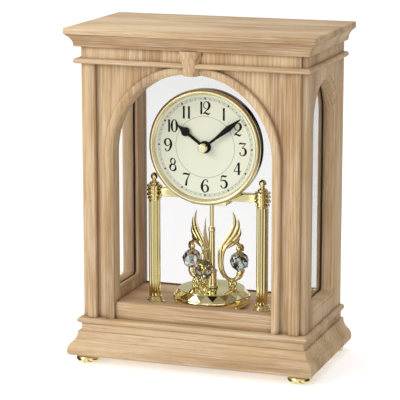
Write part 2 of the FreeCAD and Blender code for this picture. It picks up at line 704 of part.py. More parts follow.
def movement():
    half = s.case_w / 2
    low, high = s.dial_z - half, s.dial_z + half
    block = box("move_block", (-half, half), (move_front, move_back), (low, high))
    bush = rod("move_bush", "Y", s.bush_r, (0, move_front - BUSH_OUT, s.dial_z), BUSH_OUT + 1)
    room = box("move_room", (-half + s.shell_t, half - s.shell_t),
               (move_front + s.shell_t, move_back + 1), (low + s.bay_h + 2 * s.shell_t, high - s.shell_t))
    bay = box("move_bay", (-half + s.shell_t, half - s.shell_t),
              (move_front + BAY_FLOOR, move_back + 1), (low + s.shell_t, low + s.shell_t + s.bay_h))
    bore = rod("move_bore", "Y", s.pipe_r + s.play, (0, move_front - 5, s.dial_z), 10)
    socket = rod("move_socket", "Y", s.pivot_pin_r + s.play,
                 (0, move_front + s.shell_t - 1.2, s.dial_z + s.wheel_gap), 3)
    solid = group("move_solid", [block, bush])
    keep("movement_case", cut("movement_case", solid, room, bay, bore, socket))
    lid = box("move_lid", (-half + s.shell_t, half - s.shell_t), (move_back - s.shell_t, move_back),
              (low + s.bay_h + 2 * s.shell_t, high - s.shell_t))
    rear = rod("lid_rear", "Y", REAR_PIVOT_R + s.play, (0, move_back - 5, s.dial_z), 10)
    side = rod("lid_side", "Y", s.pivot_pin_r + s.play,
               (0, move_back - 5, s.dial_z + s.wheel_gap), 10)
    keep("movement_cover", cut("movement_cover", lid, rear, side))
    keep("motor_module", box("motor_module", (-half + s.shell_t, -12),
                             (move_front + s.shell_t, move_back - 4), (s.dial_z - 5, s.dial_z + 22)))
    ring = [(s.bush_r, s.dial_y - 1.2), (5.4, s.dial_y - 1.2), (5.8, s.dial_y - 0.8),
            (5.8, s.dial_y), (s.bush_r, s.dial_y)]
    keep("centre_nut", turned("centre_nut", ring, "Y", (0, 0, s.dial_z)))
    cell_z = low + s.shell_t + s.bay_h / 2
    cell_y = move_front + BAY_FLOOR + s.bay_h / 2
    body = rod("cell_body", "X", s.cell_r, (-s.cell_len / 2, cell_y, cell_z), s.cell_len)
    stud = rod("cell_stud", "X", 2.7, (s.cell_len / 2 - 1, cell_y, cell_z), 2.2)
    keep("battery", group("battery", [body, stud]))


def gear_points(teeth, pitch_r, phase_deg):
    """Corner points of a toothed wheel: narrow tapered teeth with running backlash."""
    module = 2 * pitch_r / teeth
    tip, root = pitch_r + 0.8 * module, pitch_r - 1.05 * module
    step = 2 * math.pi / teeth
    points = []
    for tooth in range(teeth):
        middle = math.radians(phase_deg) + tooth * step
        for radius, share in ((root, -0.29), (tip, -0.10), (tip, 0.10), (root, 0.29)):
            angle = middle + share * step
            points.append((radius * math.cos(angle), radius * math.sin(angle)))
    return points


def gear(name, teeth, pitch_r, phase_deg, at, thick):
    """A toothed wheel about the Y axis, from at[1] towards +Y."""
    points = gear_points(teeth, pitch_r, phase_deg)
    corners = [FreeCAD.Vector(at[0] + x, at[1], at[2] + z) for x, z in points]
    face = Part.Face(Part.makePolygon(corners + corners[:1]))
    thing = doc.addObject("Part::Feature", name)
    thing.Shape = face.extrude(FreeCAD.Vector(0, thick, 0))
    return thing


def motion_work():
    """Minute arbor, intermediate motion wheel and hour wheel, 12 to 1 from arbor to hour."""
    gap = s.wheel_gap.value
    pinion, wheel = s.pinion_teeth.value, s.motion_teeth.value
    small, hour = s.small_teeth.value, s.hour_teeth.value
    pinion_r, wheel_r = gap * pinion / (pinion + wheel), gap * wheel / (pinion + wheel)
    small_r, hour_r = gap * small / (small + hour), gap * hour / (small + hour)
    z, upper = s.dial_z.value, s.dial_z.value + gap
    front = move_front.value
    minute_y, hour_y = front + 5.2, front + 2.4

    hub = rod("arbor_front", "Y", s.arbor_r, (0, s.dial_y - 5.5, s.dial_z), minute_y + 2.0 - s.dial_y + 5.5)
    pivot = rod("arbor_rear", "Y", REAR_PIVOT_R, (0, minute_y + 1.0, s.dial_z), move_back - minute_y - 1.2)
    teeth = gear("arbor_teeth", int(pinion), pinion_r, 90.0, (0, minute_y - 0.2, z), 2.0)
    keep("minute_arbor", group("minute_arbor", [hub, pivot, teeth]))

    arbor = rod("motion_arbor", "Y", s.pivot_pin_r, (0, front + 1.0, s.dial_z + s.wheel_gap),
                s.movement_t + 2.2)
    large = gear("motion_large", int(wheel), wheel_r, 270.0 + 180.0 / wheel, (0, minute_y, upper), 1.6)
    little = gear("motion_small", int(small), small_r, 270.0, (0, hour_y - 0.1, upper), WHEEL_T + 0.2)
    keep("motion_wheel", group("motion_wheel", [arbor, large, little]))

    plate = gear("hour_plate", int(hour), hour_r, 90.0 + 180.0 / hour, (0, hour_y, z), WHEEL_T)
    pipe = rod("hour_pipe", "Y", s.pipe_r, (0, s.dial_y - 2.9, s.dial_z),
               hour_y + WHEEL_T - s.dial_y + 2.9)
    bore = rod("hour_bore", "Y", s.arbor_r + s.play, (0, s.dial_y - 5, s.dial_z), 20)
    keep("hour_wheel", cut("hour_wheel", group("hour_solid", [plate, pipe]), bore))

    knob = [(s.pivot_pin_r, 0), (5.2, 0), (5.6, 0.6), (5.6, 4.0), (5.0, 4.6), (s.pivot_pin_r, 4.6)]
    keep("set_knob", turned("set_knob", knob, "Y", (0, move_back + 0.4, s.dial_z + s.wheel_gap)))


HOUR_HUB_R = 4.2
MINUTE_HUB_R = 3.4


def hand(name, outline, back_y, hub_r, hole_r, deg):
    """A flat hand cut from its outline, which points to 12 before it is turned."""
    blade = padded(f"{name}_blade", "XZ_Plane", [outline], s.hand_t)
    hub = rod(f"{name}_hub", "Y", hub_r, (0, -s.hand_t, 0), s.hand_t)
    eye = rod(f"{name}_eye", "Y", hole_r, (0, -2, 0), 4)
    piece = cut(name, group(f"{name}_flat", [blade, hub]), eye)
    turn = FreeCAD.Rotation(FreeCAD.Vector(0, 1, 0), deg.value)
    piece.Placement = FreeCAD.Placement(
        FreeCAD.Vector(0, as_size(back_y).value, s.dial_z.value), turn)
    return piece


def hands():
    length = s.hour_len
    hour = [(-0.9, 0), (0.9, 0), (1.1, length * 0.55, 4.6, 1), (4.0, length * 0.655, 4.2, 1),
            (2.2, length * 0.75, 20.0, -1), (0, length, 20.0, -1), (-2.2, length * 0.75, 4.2, 1),
            (-4.0, length * 0.655, 4.6, 1), (-1.1, length * 0.55)]
    keep("hour_hand", hand("hour_hand", hour, s.dial_y - 1.9, HOUR_HUB_R, s.pipe_r, s.hour_deg))
    reach = s.minute_len
    minute = [(-0.8, 0), (0.8, 0), (0.9, reach * 0.35), (2.4, reach * 0.68), (0.25, reach),
              (-0.25, reach), (-2.4, reach * 0.68), (-0.9, reach * 0.35)]
    keep("minute_hand", hand("minute_hand", minute, s.dial_y - 4.0, MINUTE_HUB_R, s.arbor_r,
                             s.minute_deg))
    cap = [(0, -s.cap_len), (s.cap_r - 0.7, -s.cap_len, 0.8, 1), (s.cap_r, -s.cap_len + 0.7),
           (s.cap_r, 0), (s.arbor_r, 0), (s.arbor_r, -0.9), (0, -0.9)]
    keep("centre_cap", turned("centre_cap", cap, "Y", (0, s.dial_y - 4.6, s.dial_z)))


# ---- Revolving pendulum -------------------------------------------------------------

DRIVE_HALF = 17.0
DRIVE_H = 26.0
DRIVE_DEEP = 13.0
DRIVE_WALL = 1.5
ROTOR_SEAT = 15.0
ROTOR_T = 3.2


def drive():
    """The case of the turning drive, which hangs on the cross bar behind the drum."""
    low, high = s.hang_z, s.hang_z + DRIVE_H
    back = s.axis_y + DRIVE_DEEP
    inside = DRIVE_HALF - 2.0
    body = box("drive_body", (-DRIVE_HALF, DRIVE_HALF), (s.drum_back_y, back), (low, high))
    slot = box("drive_slot", (-DRIVE_HALF - 3, DRIVE_HALF + 3), (s.drum_back_y - 1, bar_back),
               (s.bar_z, s.bar_z + s.bar_h))
    room = box("drive_room", (-inside, inside), (s.drum_back_y + DRIVE_WALL, back - DRIVE_WALL),
               (low + ROTOR_SEAT - 0.4, high - 2))
    bore = rod("drive_bore", "Z", s.spindle_r + s.play, (0, s.axis_y, low - 1), 20)
    keep("drive_case", cut("drive_case", body, slot, room, bore))
    rotor = [(s.spindle_r, 0), (s.rotor_r, 0), (s.rotor_r, ROTOR_T), (s.spindle_r, ROTOR_T)]
    keep("rotor_magnet", turned("rotor_magnet", rotor, at=(0, s.axis_y, low + ROTOR_SEAT)))


COLLAR_R = 4.2
SEAT_H = 6.2
SPINDLE_SUNK = 6.0


def pendulum():
    top = s.disc_z + s.disc_h
    start = top - SPINDLE_SUNK
    rise = s.hang_z + ROTOR_SEAT + ROTOR_T - start
    spindle = [
        (0, 0), (COLLAR_R, 0), (COLLAR_R, 7.2), (3.8, 8.4, 60.0, -1), (s.rod_r, 24.0),
        (s.rod_r, 61.0), (3.4, 61.4), (3.4, 64.2), (2.4, 64.8), (s.spindle_r, 66.4),
        (s.spindle_r, rise), (0, rise),
    ]
    keep("pendulum_spindle", turned("pendulum_spindle", spindle, at=(0, s.axis_y, start)))
    hollow = s.disc_r - 7.0
    bob = [
        (0, SEAT_H), (0, 1.5), (hollow, 1.5), (hollow, 0), (s.disc_r - 4.4, 0, 4.5, 1),
        (s.disc_r, 4.6), (s.disc_r, 7.0, 2.6, 1), (s.disc_r - 1.6, 9.4),
        (s.plate_r, s.disc_h - 0.9), (s.plate_r - 3.4, s.disc_h), (COLLAR_R, s.disc_h),
        (COLLAR_R, SEAT_H),
    ]
    keep("pendulum_disc", turned("pendulum_disc", bob, at=(0, s.axis_y, s.disc_z)))


SEAT_GAP = 0.05


def neck_ring(tube):
    """The oval that a swan's neck and breast make, as a round bar of radius tube."""
    r, a, b = s.swan_r.value, s.ring_a.value, s.ring_b.value
    mid_z = s.ring_z.value
    centre = FreeCAD.Vector(r, 0, mid_z)
    oval = Part.Ellipse(FreeCAD.Vector(r, 0, mid_z + b), FreeCAD.Vector(r + a, 0, mid_z), centre)
    path = Part.Wire([oval.toShape()])
    section = Part.Wire([Part.makeCircle(tube, oval.value(0), oval.tangent(0)[0])])
    return path.makePipeShell([section], True, True)


def swan_shape():
    """One swan standing in the XZ plane, its axis distance along +X: a ring of neck and
    breast that the crystal closes, a raised wing, a bowed head and a short foot."""
    top = (s.disc_z + s.disc_h).value
    r, a, b = s.swan_r.value, s.ring_a.value, s.ring_b.value
    mid_z = s.ring_z.value
    stone = Part.makeSphere(s.crystal_r.value + SEAT_GAP, FreeCAD.Vector(s.crystal_at.value, 0, mid_z))
    ring = neck_ring(s.ring_tube.value).cut(stone)
    foot = Part.makeCone(3.4, 1.8, mid_z - b - top + 1.2, FreeCAD.Vector(r, 0, top))
    head = Part.makeSphere(2.6, FreeCAD.Vector(r + a * 0.62, 0, mid_z + b * 0.62))
    levels = []
    wing_top = s.wing_z.value
    for share, x, half_x, half_y in ((0.0, r - a, 1.6, 1.4), (0.3, r - 5.2, 2.6, 1.6),
                                     (0.6, r - 1.6, 2.8, 1.3), (1.0, r - 0.6, 0.8, 0.6)):
        z = mid_z + 4 + (wing_top - mid_z - 4) * share
        oval = Part.Ellipse(FreeCAD.Vector(x, 0, z), half_x, half_y)
        levels.append(Part.Wire([oval.toShape()]))
    wing = Part.makeLoft(levels, True)
    return ring.fuse([foot, head, wing])


FACET_RINGS = 6
FACETS_ROUND = 10


def faceted_ball(radius, at):
    """A cut-glass ball: rings of flat facets between two flat ends."""
    turn = math.pi / FACET_RINGS
    heights = [math.pi * 0.5 - turn * (level + 0.5) for level in range(FACET_RINGS)]
    rings = []
    for height in heights:
        ring = []
        for n in range(FACETS_ROUND):
            angle = 2 * math.pi * (n + 0.5) / FACETS_ROUND
            ring.append(FreeCAD.Vector(at[0] + radius * math.cos(height) * math.cos(angle),
                                       at[1] + radius * math.cos(height) * math.sin(angle),
                                       at[2] + radius * math.sin(height)))
        rings.append(ring)
    corners = [rings[0], list(reversed(rings[-1]))]
    for upper, lower in zip(rings, rings[1:]):
        for n in range(FACETS_ROUND):
            after = (n + 1) % FACETS_ROUND
            corners.append([upper[n], lower[n], lower[after], upper[after]])
    faces = [Part.Face(Part.makePolygon(points + points[:1])) for points in corners]
    ball = Part.Solid(Part.Shell(faces))
    if ball.Volume < 0:
        ball.reverse()
    return ball


def swans_and_crystals():
    shape = swan_shape()
    gem = faceted_ball(s.crystal_r.value, (s.crystal_at.value, 0, s.ring_z.value))
    gems = []
    for number, name in enumerate(("right", "rear", "front")):
        turn = FreeCAD.Rotation(FreeCAD.Vector(0, 0, 1), s.first_deg.value + 120.0 * number)
        seat = FreeCAD.Placement(FreeCAD.Vector(0, s.axis_y.value, 0), turn)
        swan = doc.addObject("Part::Feature", f"{name}_swan")
        swan.Shape = shape
        swan.Placement = seat
        keep(f"{name}_swan", swan)
        stone = doc.addObject("Part::Feature", f"{name}_crystal")
        stone.Shape = gem
        stone.Placement = seat
        gems.append(stone)
    keep("crystals", group("crystals", gems, "Part::Compound"))


# ---- Build, check and write ---------------------------------------------------------

def check():
    doc.recompute()
    for thing in doc.Objects:
        if {"Invalid", "Error"} & set(thing.State):
            raise RuntimeError(f"{thing.Name} failed: {thing.State}")
    for label, thing in nodes.items():
        shape = thing.Shape
        if shape.isNull() or not shape.isValid() or not shape.Solids:
            raise RuntimeError(f"{label} has no valid shape")
        print(f"{label:24s} solids {len(shape.Solids)} volume {shape.Volume / 1000:9.3f} cm3")


def main():
    base()
    feet()
    front_frame()
    pilasters()
    arch_bands()
    crown_pieces()
    cornice()
    side_walls()
    ceiling_and_back()
    back_door()
    columns()
    cross_bar()
    head()
    movement()
    motion_work()
    hands()
    drive()
    pendulum()
    swans_and_crystals()
    check()
    os.makedirs("parts", exist_ok=True)
    for label, thing in nodes.items():
        thing.Shape.exportStep(f"parts/{label}.step")
    print(len(nodes), "nodes")


main()
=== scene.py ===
import json
import math

import bmesh
import bpy
from mathutils import Matrix, Vector

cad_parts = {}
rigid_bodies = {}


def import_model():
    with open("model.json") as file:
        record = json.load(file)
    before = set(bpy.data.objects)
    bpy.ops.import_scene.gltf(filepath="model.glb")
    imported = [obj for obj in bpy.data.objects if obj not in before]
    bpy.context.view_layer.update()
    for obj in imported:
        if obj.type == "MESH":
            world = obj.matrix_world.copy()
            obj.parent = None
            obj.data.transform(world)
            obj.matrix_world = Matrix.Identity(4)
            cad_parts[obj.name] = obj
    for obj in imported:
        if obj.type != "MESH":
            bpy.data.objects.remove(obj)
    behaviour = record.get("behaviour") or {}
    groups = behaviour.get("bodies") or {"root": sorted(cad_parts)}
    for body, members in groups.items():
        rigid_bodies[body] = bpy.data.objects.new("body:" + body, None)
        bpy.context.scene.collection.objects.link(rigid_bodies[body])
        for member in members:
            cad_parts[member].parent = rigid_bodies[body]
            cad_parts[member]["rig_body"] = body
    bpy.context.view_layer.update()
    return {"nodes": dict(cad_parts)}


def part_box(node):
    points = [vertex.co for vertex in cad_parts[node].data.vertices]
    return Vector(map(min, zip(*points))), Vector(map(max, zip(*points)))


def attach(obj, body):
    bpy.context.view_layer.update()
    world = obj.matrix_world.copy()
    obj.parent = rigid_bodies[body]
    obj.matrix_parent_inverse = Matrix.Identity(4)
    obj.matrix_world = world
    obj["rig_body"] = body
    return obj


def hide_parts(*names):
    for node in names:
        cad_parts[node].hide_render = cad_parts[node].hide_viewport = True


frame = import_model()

# Looks of a mantel clock: a limed wooden case, a brass clock head on two columns and a
# revolving pendulum of swans and crystals. Lengths in the tables below are millimetres.
# Places come from the frame's own boxes, except that the swans and gems have heights above
# the ground and distances from the pendulum's axis.

MM = 0.001
CASE, MINUTE, MOTION, PENDULUM, DOOR = "case", "minute", "motion", "pendulum", "door"


# ---- Frame measures ----

def low(node):
    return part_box(node)[0]


def high(node):
    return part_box(node)[1]


def middle(node):
    corner_low, corner_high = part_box(node)
    return (corner_low + corner_high) / 2


DIAL_Z = middle("dial").z
DIAL_FRONT = low("dial").y
AXIS_Y = middle("pendulum_spindle").y
FLOOR_Z = high("floor_board").z
DISC_Z = low("pendulum_disc").z
PLATE_Z = high("pendulum_disc").z


# ---- Meshes ----

def to_mesh(bm, name, sharp_deg=35.0):
    """The bmesh as a mesh with outward faces, smooth where it bends less than sharp_deg."""
    bmesh.ops.recalc_face_normals(bm, faces=bm.faces)
    mesh = bpy.data.meshes.new(name)
    bm.to_mesh(mesh)
    bm.free()
    for polygon in mesh.polygons:
        polygon.use_smooth = sharp_deg > 0
    if sharp_deg > 0:
        mesh.set_sharp_from_angle(angle=math.radians(sharp_deg))
    return mesh


def placed(name, data):
    """A new object in the scene for a mesh, a lamp or a camera."""
    obj = bpy.data.objects.new(name, data)
    bpy.context.scene.collection.objects.link(obj)
    return obj


def add_piece(name, mesh, material, body, stands_for=()):
    obj = placed(name, mesh)
    mesh.materials.clear()
    mesh.materials.append(material)
    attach(obj, body)
    if stands_for:
        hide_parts(*stands_for)
    return obj


def body_of(node):
    return frame["nodes"][node]["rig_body"]


WELD = 1e-6
FLAT_DEG, SOFT_EDGE_DEG = 0.5, 30.0


def refined(node, material, edge, segments=2, coat=0.0):
    """Stands for a CAD node with the same shape, its sharp edges eased by edge mm and its
    outline in the x-z plane grown by a coat of paint, in mm."""
    bm = bmesh.new()
    bm.from_mesh(frame["nodes"][node].data)
    bmesh.ops.remove_doubles(bm, verts=bm.verts, dist=WELD)
    bmesh.ops.dissolve_limit(bm, angle_limit=math.radians(FLAT_DEG), verts=bm.verts,
                              edges=bm.edges)
    if coat:
        bm.normal_update()
        for vert in bm.verts:
            vert.co += Vector((vert.normal.x, 0.0, vert.normal.z)).normalized() * coat * MM
    limit = math.radians(SOFT_EDGE_DEG)
    sharp = [e for e in bm.edges if len(e.link_faces) == 2 and e.calc_face_angle(0.0) > limit]
    if edge:
        bmesh.ops.bevel(bm, geom=sharp, offset=edge * MM, segments=segments, profile=0.5,
                        affect="EDGES", clamp_overlap=False)
    bmesh.ops.triangulate(bm, faces=[f for f in bm.faces if len(f.verts) > 4])
    return add_piece(f"{node}_finished", to_mesh(bm, node), material, body_of(node), [node])


AXES = {
    "X": Matrix(((0, 0, 1), (0, 1, 0), (-1, 0, 0))),
    "Y": Matrix(((1, 0, 0), (0, 0, 1), (0, -1, 0))),
    "Z": Matrix.Identity(3),
}
ROUND = 96
ON_AXIS = 1e-6
CORNER_STEPS = 4
BALL_LEVELS = 10
THINNEST = 0.02


def bridge(bm, first, second):
    """Joins two rings of points with faces. A ring may be a single point."""
    count = max(len(first), len(second))
    for n in range(count):
        after = (n + 1) % count
        corners = dict.fromkeys((first[n % len(first)], first[after % len(first)],
                                 second[after % len(second)], second[n % len(second)]))
        if len(corners) > 2:
            bm.faces.new(list(corners))


def skin(bm, rings):
    """Closes a row of rings into a solid, with a face over each end."""
    for lower, upper in zip(rings, rings[1:]):
        bridge(bm, lower, upper)
    bm.faces.new(rings[0])
    bm.faces.new(rings[-1])


def rounded(profile, radius):
    """The (radius, height) profile with every corner but its two ends rounded off."""
    points = [Vector(p) for p in profile]
    path = [points[0]]
    for before, corner, after in zip(points, points[1:], points[2:]):
        back, ahead = before - corner, after - corner
        reach = min(radius, back.length * 0.45, ahead.length * 0.45)
        start = corner + back.normalized() * reach
        end = corner + ahead.normalized() * reach
        for step in range(CORNER_STEPS + 1):
            t = step / CORNER_STEPS
            path.append(start * (1 - t) ** 2 + corner * 2 * t * (1 - t) + end * t ** 2)
    path.append(points[-1])
    return path


def lathe_into(bm, profile, origin, axis="Z"):
    """Adds the profile's (radius, height) line in mm, turned about the axis at origin."""
    turn = AXES[axis]
    rings = []
    for radius, height in profile:
        ring = []
        for side in range(1 if radius < ON_AXIS else ROUND):
            angle = 2 * math.pi * side / ROUND
            spot = Vector((radius * math.cos(angle), radius * math.sin(angle), height))
            ring.append(bm.verts.new(origin + turn @ spot * MM))
        rings.append(ring)
    for lower, upper in zip(rings, rings[1:]):
        bridge(bm, lower, upper)


def lathe(name, profile, origin, material, body, stands_for=(), axis="Z", ease=0.3):
    bm = bmesh.new()
    lathe_into(bm, rounded(profile, ease), origin, axis)
    return add_piece(name, to_mesh(bm, name), material, body, stands_for)


def spline(points, per_span):
    """A smooth line through the points (Catmull-Rom), each a Vector of any length."""
    path = []
    padded = [points[0] * 2 - points[1]] + list(points) + [points[-1] * 2 - points[-2]]
    for a, b, c, d in zip(padded, padded[1:], padded[2:], padded[3:]):
        for step in range(per_span):
            t = step / per_span
            path.append(0.5 * (2 * b + (c - a) * t + (2 * a - 5 * b + 4 * c - d) * t ** 2
                               + (3 * b - a - 3 * c + d) * t ** 3))
    path.append(points[-1].copy())
    return path


def tube_into(bm, knots, place, flat, sides, per_span):
    """Adds a tapered bar through the knots (u, w, z, radius), u outwards and w sideways.
    flat is its thickness across the plane as a share of its width."""
    path = spline([Vector(k) for k in knots], per_span)
    rings = []
    for index, knot in enumerate(path):
        here = Vector(knot[:3])
        ahead = Vector(path[min(index + 1, len(path) - 1)][:3])
        behind = Vector(path[max(index - 1, 0)][:3])
        along = (ahead - behind).normalized()
        across = along.cross(Vector((0, 1, 0))).normalized()
        side = across.cross(along).normalized()
        radius = max(knot[3], THINNEST)
        ring = []
        for n in range(sides):
            angle = 2 * math.pi * n / sides
            offset = across * math.cos(angle) * radius + side * math.sin(angle) * radius * flat
            ring.append(bm.verts.new(place @ ((here + offset) * MM)))
        rings.append(ring)
    skin(bm, rings)


def ball_into(bm, centre, radii, place, tilt):
    """Adds an ellipsoid at (u, w, z) with the three radii, tilted in the u-z plane."""
    turn = Matrix.Rotation(tilt, 3, "Y")
    levels = []
    for level in range(BALL_LEVELS + 1):
        height = math.pi * (level / BALL_LEVELS - 0.5)
        ring = []
        for n in range(1 if level in (0, BALL_LEVELS) else 2 * BALL_LEVELS):
            angle = math.pi * n / BALL_LEVELS
            spot = Vector((radii[0] * math.cos(height) * math.cos(angle),
                           radii[1] * math.cos(height) * math.sin(angle),
                           radii[2] * math.sin(height)))
            ring.append(bm.verts.new(place @ ((Vector(centre) + turn @ spot) * MM)))
        levels.append(ring)
    for lower, upper in zip(levels, levels[1:]):
        bridge(bm, lower, upper)


# ---- Materials ----

def colour(red, green, blue):
    """An sRGB colour of 0 to 255 as linear RGBA."""
    linear = [((c / 255 + 0.055) / 1.055) ** 2.4 if c > 10 else c / 255 / 12.92
              for c in (red, green, blue)]
    return (*linear, 1.0)


def toned(tint, share, extra=0.0):
    """A tint made darker or lighter."""
    return tuple(min(1.0, c * share + extra) for c in tint[:3]) + (1.0,)


class Nodes:
    """A node tree: most methods add one node and return its main output."""

    def __init__(self, tree):
        self.tree = tree

    def node(self, kind, inputs, **settings):
        made = self.tree.nodes.new(kind)
        for name, value in settings.items():
            setattr(made, name, value)
        for socket, value in inputs.items():
            self.set(made.inputs[socket], value)
        return made

    def set(self, socket, value):
        if isinstance(value, bpy.types.NodeSocket):
            self.tree.links.new(value, socket)
        else:
            socket.default_value = value

    def place(self, scale, offset=(0, 0, 0)):
        """Object coordinates, scaled by one number or by three, and moved."""
        spot = self.node("ShaderNodeTexCoord", {}).outputs["Object"]
        scales = scale if hasattr(scale, "__len__") else (scale, scale, scale)
        mapped = self.node("ShaderNodeMapping", {"Vector": spot, "Scale": scales, "Location": offset})
        return mapped.outputs["Vector"]

    def noise(self, scale, detail=3.0, roughness=0.5, distortion=0.0, offset=(0, 0, 0)):
        made = self.node("ShaderNodeTexNoise", {"Vector": self.place(scale, offset), "Scale": 1.0,
                                                "Detail": detail, "Roughness": roughness,
                                                "Distortion": distortion})
        return made.outputs["Fac"]

    def ramp(self, value, *stops):
        made = self.node("ShaderNodeValToRGB", {"Fac": value})
        slots = made.color_ramp.elements
        while len(slots) < len(stops):
            slots.new(0.5)
        for slot, (position, shade) in zip(slots, stops):
            slot.position = position
            slot.color = shade if hasattr(shade, "__len__") else (shade, shade, shade, 1)
        return made.outputs["Color"]

    def calc(self, operation, first, second):
        return self.node("ShaderNodeMath", {0: first, 1: second}, operation=operation).outputs[0]

    def times(self, first, second):
        return self.calc("MULTIPLY", first, second)

    def plus(self, first, second):
        return self.calc("ADD", first, second)

    def span(self, value, low_out, high_out, low_in=0.0, high_in=1.0):
        made = self.node("ShaderNodeMapRange", {"Value": value, "From Min": low_in, "From Max": high_in,
                                                "To Min": low_out, "To Max": high_out})
        return made.outputs["Result"]

    def mix(self, factor, first, second, mode="MIX"):
        made = self.node("ShaderNodeMix", {}, data_type="RGBA", blend_type=mode)
        for socket, value in (("Factor", factor), (6, first), (7, second)):
            self.set(made.inputs[socket], value)
        return made.outputs[2]


class Shader(Nodes):
    """A material with a Principled surface."""

    def __init__(self, name, **principled):
        self.material = bpy.data.materials.new(name)
        self.material.use_nodes = True
        super().__init__(self.material.node_tree)
        self.surface = self.tree.nodes["Principled BSDF"]
        for socket, value in principled.items():
            self.surface.inputs[socket.replace("_", " ")].default_value = value

    def drive(self, socket, value):
        self.set(self.surface.inputs[socket], value)

    def bump(self, height, strength, distance):
        made = self.node("ShaderNodeBump", {"Height": height, "Strength": strength,
                                            "Distance": distance * MM})
        self.drive("Normal", made.outputs["Normal"])


PALE, MID, DARK = colour(224, 198, 158), colour(203, 170, 127), colour(158, 119, 81)
PORE, LIMED = colour(138, 107, 78), colour(226, 208, 187)
GRAIN = {"X": 0, "Z": 2}
# How far from a crease or corner the painted shade in the wood reaches.
PAINTED_SHADE_REACH = 5 * MM
# Growth rings: texture units per metre across and along the board, and their size in a
# board from beside the pith and in one from the heart of the tree.
RINGS_PER_M, RINGS_ALONG = 100.0, 3.4
BOARD_RINGS = {"Scale": 1.15, "Distortion": 6.0}
HEART_RINGS = {"Scale": 0.5, "Distortion": 3.0}
RING_STRENGTH = 0.74
# The figure as noise: scale across and along the grain, detail and roughness of the broad
# bands, the middling and fine streaks, the pores and the limed patches.
FIGURE = ((34.0, 5.0, 3.0, 0.5), (430.0, 9.0, 3.0, 0.6), (1100.0, 24.0, 4.0, 0.6),
          (2800.0, 120.0, 2.0, 0.5), (60.0, 22.0, 2.0, 0.5))
BROAD_SHARE, MIDDLING_SHARE, STREAK_SHARE = 0.62, 0.12, 0.44


def stretched(axis, across, along):
    """Texture scale with its long way along the grain."""
    scale = [across, across, across]
    scale[GRAIN[axis]] = along
    return tuple(scale)


def growth_rings(tree, axis, seed, heart):
    """Rings about a pith along the board: outside it, or at heart, (y, z) in mm."""
    pith = [9.0 + 1.3 * seed % 7, -13.0 - 2.1 * seed % 9, 11.0 + 1.1 * seed % 5]
    if heart:
        pith = [0.0, -heart[0] * MM * RINGS_PER_M, -heart[1] * MM * RINGS_PER_M]
    pith[GRAIN[axis]] = 3.0 * seed
    where = tree.place(stretched(axis, RINGS_PER_M, RINGS_ALONG), tuple(pith))
    size = HEART_RINGS if heart else BOARD_RINGS
    made = tree.node("ShaderNodeTexWave", {"Vector": where, "Detail": 3.0, "Detail Scale": 0.42,
                                           "Detail Roughness": 0.6, **size},
                     wave_type="RINGS", rings_direction=axis, wave_profile="SAW")
    return made.outputs["Fac"]


def wood(name, axis, seed, painted_light, heart):
    """Open-grained pale timber: growth rings, streaks and short pores along the grain, and
    pale limed patches under a matt finish. Painted shade darkens its creases and corners, and
    a lift share lightens it as painted light for a board in shade."""
    tree = Shader(name, IOR=1.42)
    line = tree.ramp(growth_rings(tree, axis, seed, heart), (0.55, 0.0), (0.93, 1.0), (1.0, 0.2))
    shift = (1.7 * seed, 0.9 * seed + 0.3, 2.3 * seed)
    broad, middling, streaks, fine, mottled = (
        tree.noise(stretched(axis, across, along), detail, roughness, offset=shift)
        for across, along, detail, roughness in FIGURE)
    pores = tree.ramp(fine, (0.60, 0.0), (0.70, 1.0))
    mixed = tree.plus(tree.times(streaks, STREAK_SHARE), tree.times(middling, MIDDLING_SHARE))
    tone = tree.ramp(tree.plus(mixed, tree.times(broad, BROAD_SHARE)),
                     (0.42, PALE), (0.60, MID), (0.78, DARK))
    where = tree.ramp(broad, (0.35, 0.22), (0.68, 1.0))
    ringed = tree.mix(tree.times(tree.times(line, RING_STRENGTH), where), tone, DARK)
    limed = tree.times(tree.ramp(streaks, (0.38, 0.50), (0.55, 0.0)),
                       tree.ramp(mottled, (0.36, 0.0), (0.58, 1.0)))
    washed = tree.mix(limed, ringed, LIMED)
    pored = tree.mix(tree.times(pores, tree.span(line, 0.22, 0.60)), washed, PORE)
    # Painted shade: the colour darkens in creases and corners that nearby parts hide.
    corner = tree.node("ShaderNodeAmbientOcclusion", {"Distance": PAINTED_SHADE_REACH}, samples=8)
    painted_crease_shade = tree.ramp(corner.outputs["AO"], (0.25, 0.58), (0.80, 1.0))
    with_painted_shade = tree.mix(1.0, pored, painted_crease_shade, "MULTIPLY")
    # Painted light: a board that lies in shade is lightened by its share.
    tree.drive("Base Color", tree.mix(1.0, with_painted_shade, (painted_light, painted_light, painted_light, 1.0), "MULTIPLY"))
    tree.drive("Roughness", tree.span(streaks, 0.50, 0.70))
    relief = tree.calc("SUBTRACT", tree.times(streaks, 0.5), tree.plus(pores, tree.times(line, 0.35)))
    tree.bump(relief, 0.35, 0.12)
    return tree.material


def brass(name, tint, rough_low, rough_high):
    """Polished metal with faint smudges in its gloss."""
    tree = Shader(name, Metallic=1.0)
    smudge = tree.noise(60, 4.0, 0.6)
    tree.drive("Roughness", tree.span(smudge, rough_low, rough_high))
    tree.drive("Base Color", tree.mix(smudge, tint, toned(tint, 0.94)))
    tree.bump(tree.noise(900, 2.0), 0.03, 0.02)
    return tree.material


def pane(name, alpha, tint):
    """A clear sheet: nearly all light passes, and the gloss shows faint wiping marks."""
    tree = Shader(name, Base_Color=tint, Alpha=alpha, IOR=1.5)
    marks = tree.noise((14, 14, 40), 3.0, 0.5, 0.6)
    tree.drive("Roughness", tree.span(marks, 0.01, 0.05))
    return tree.material


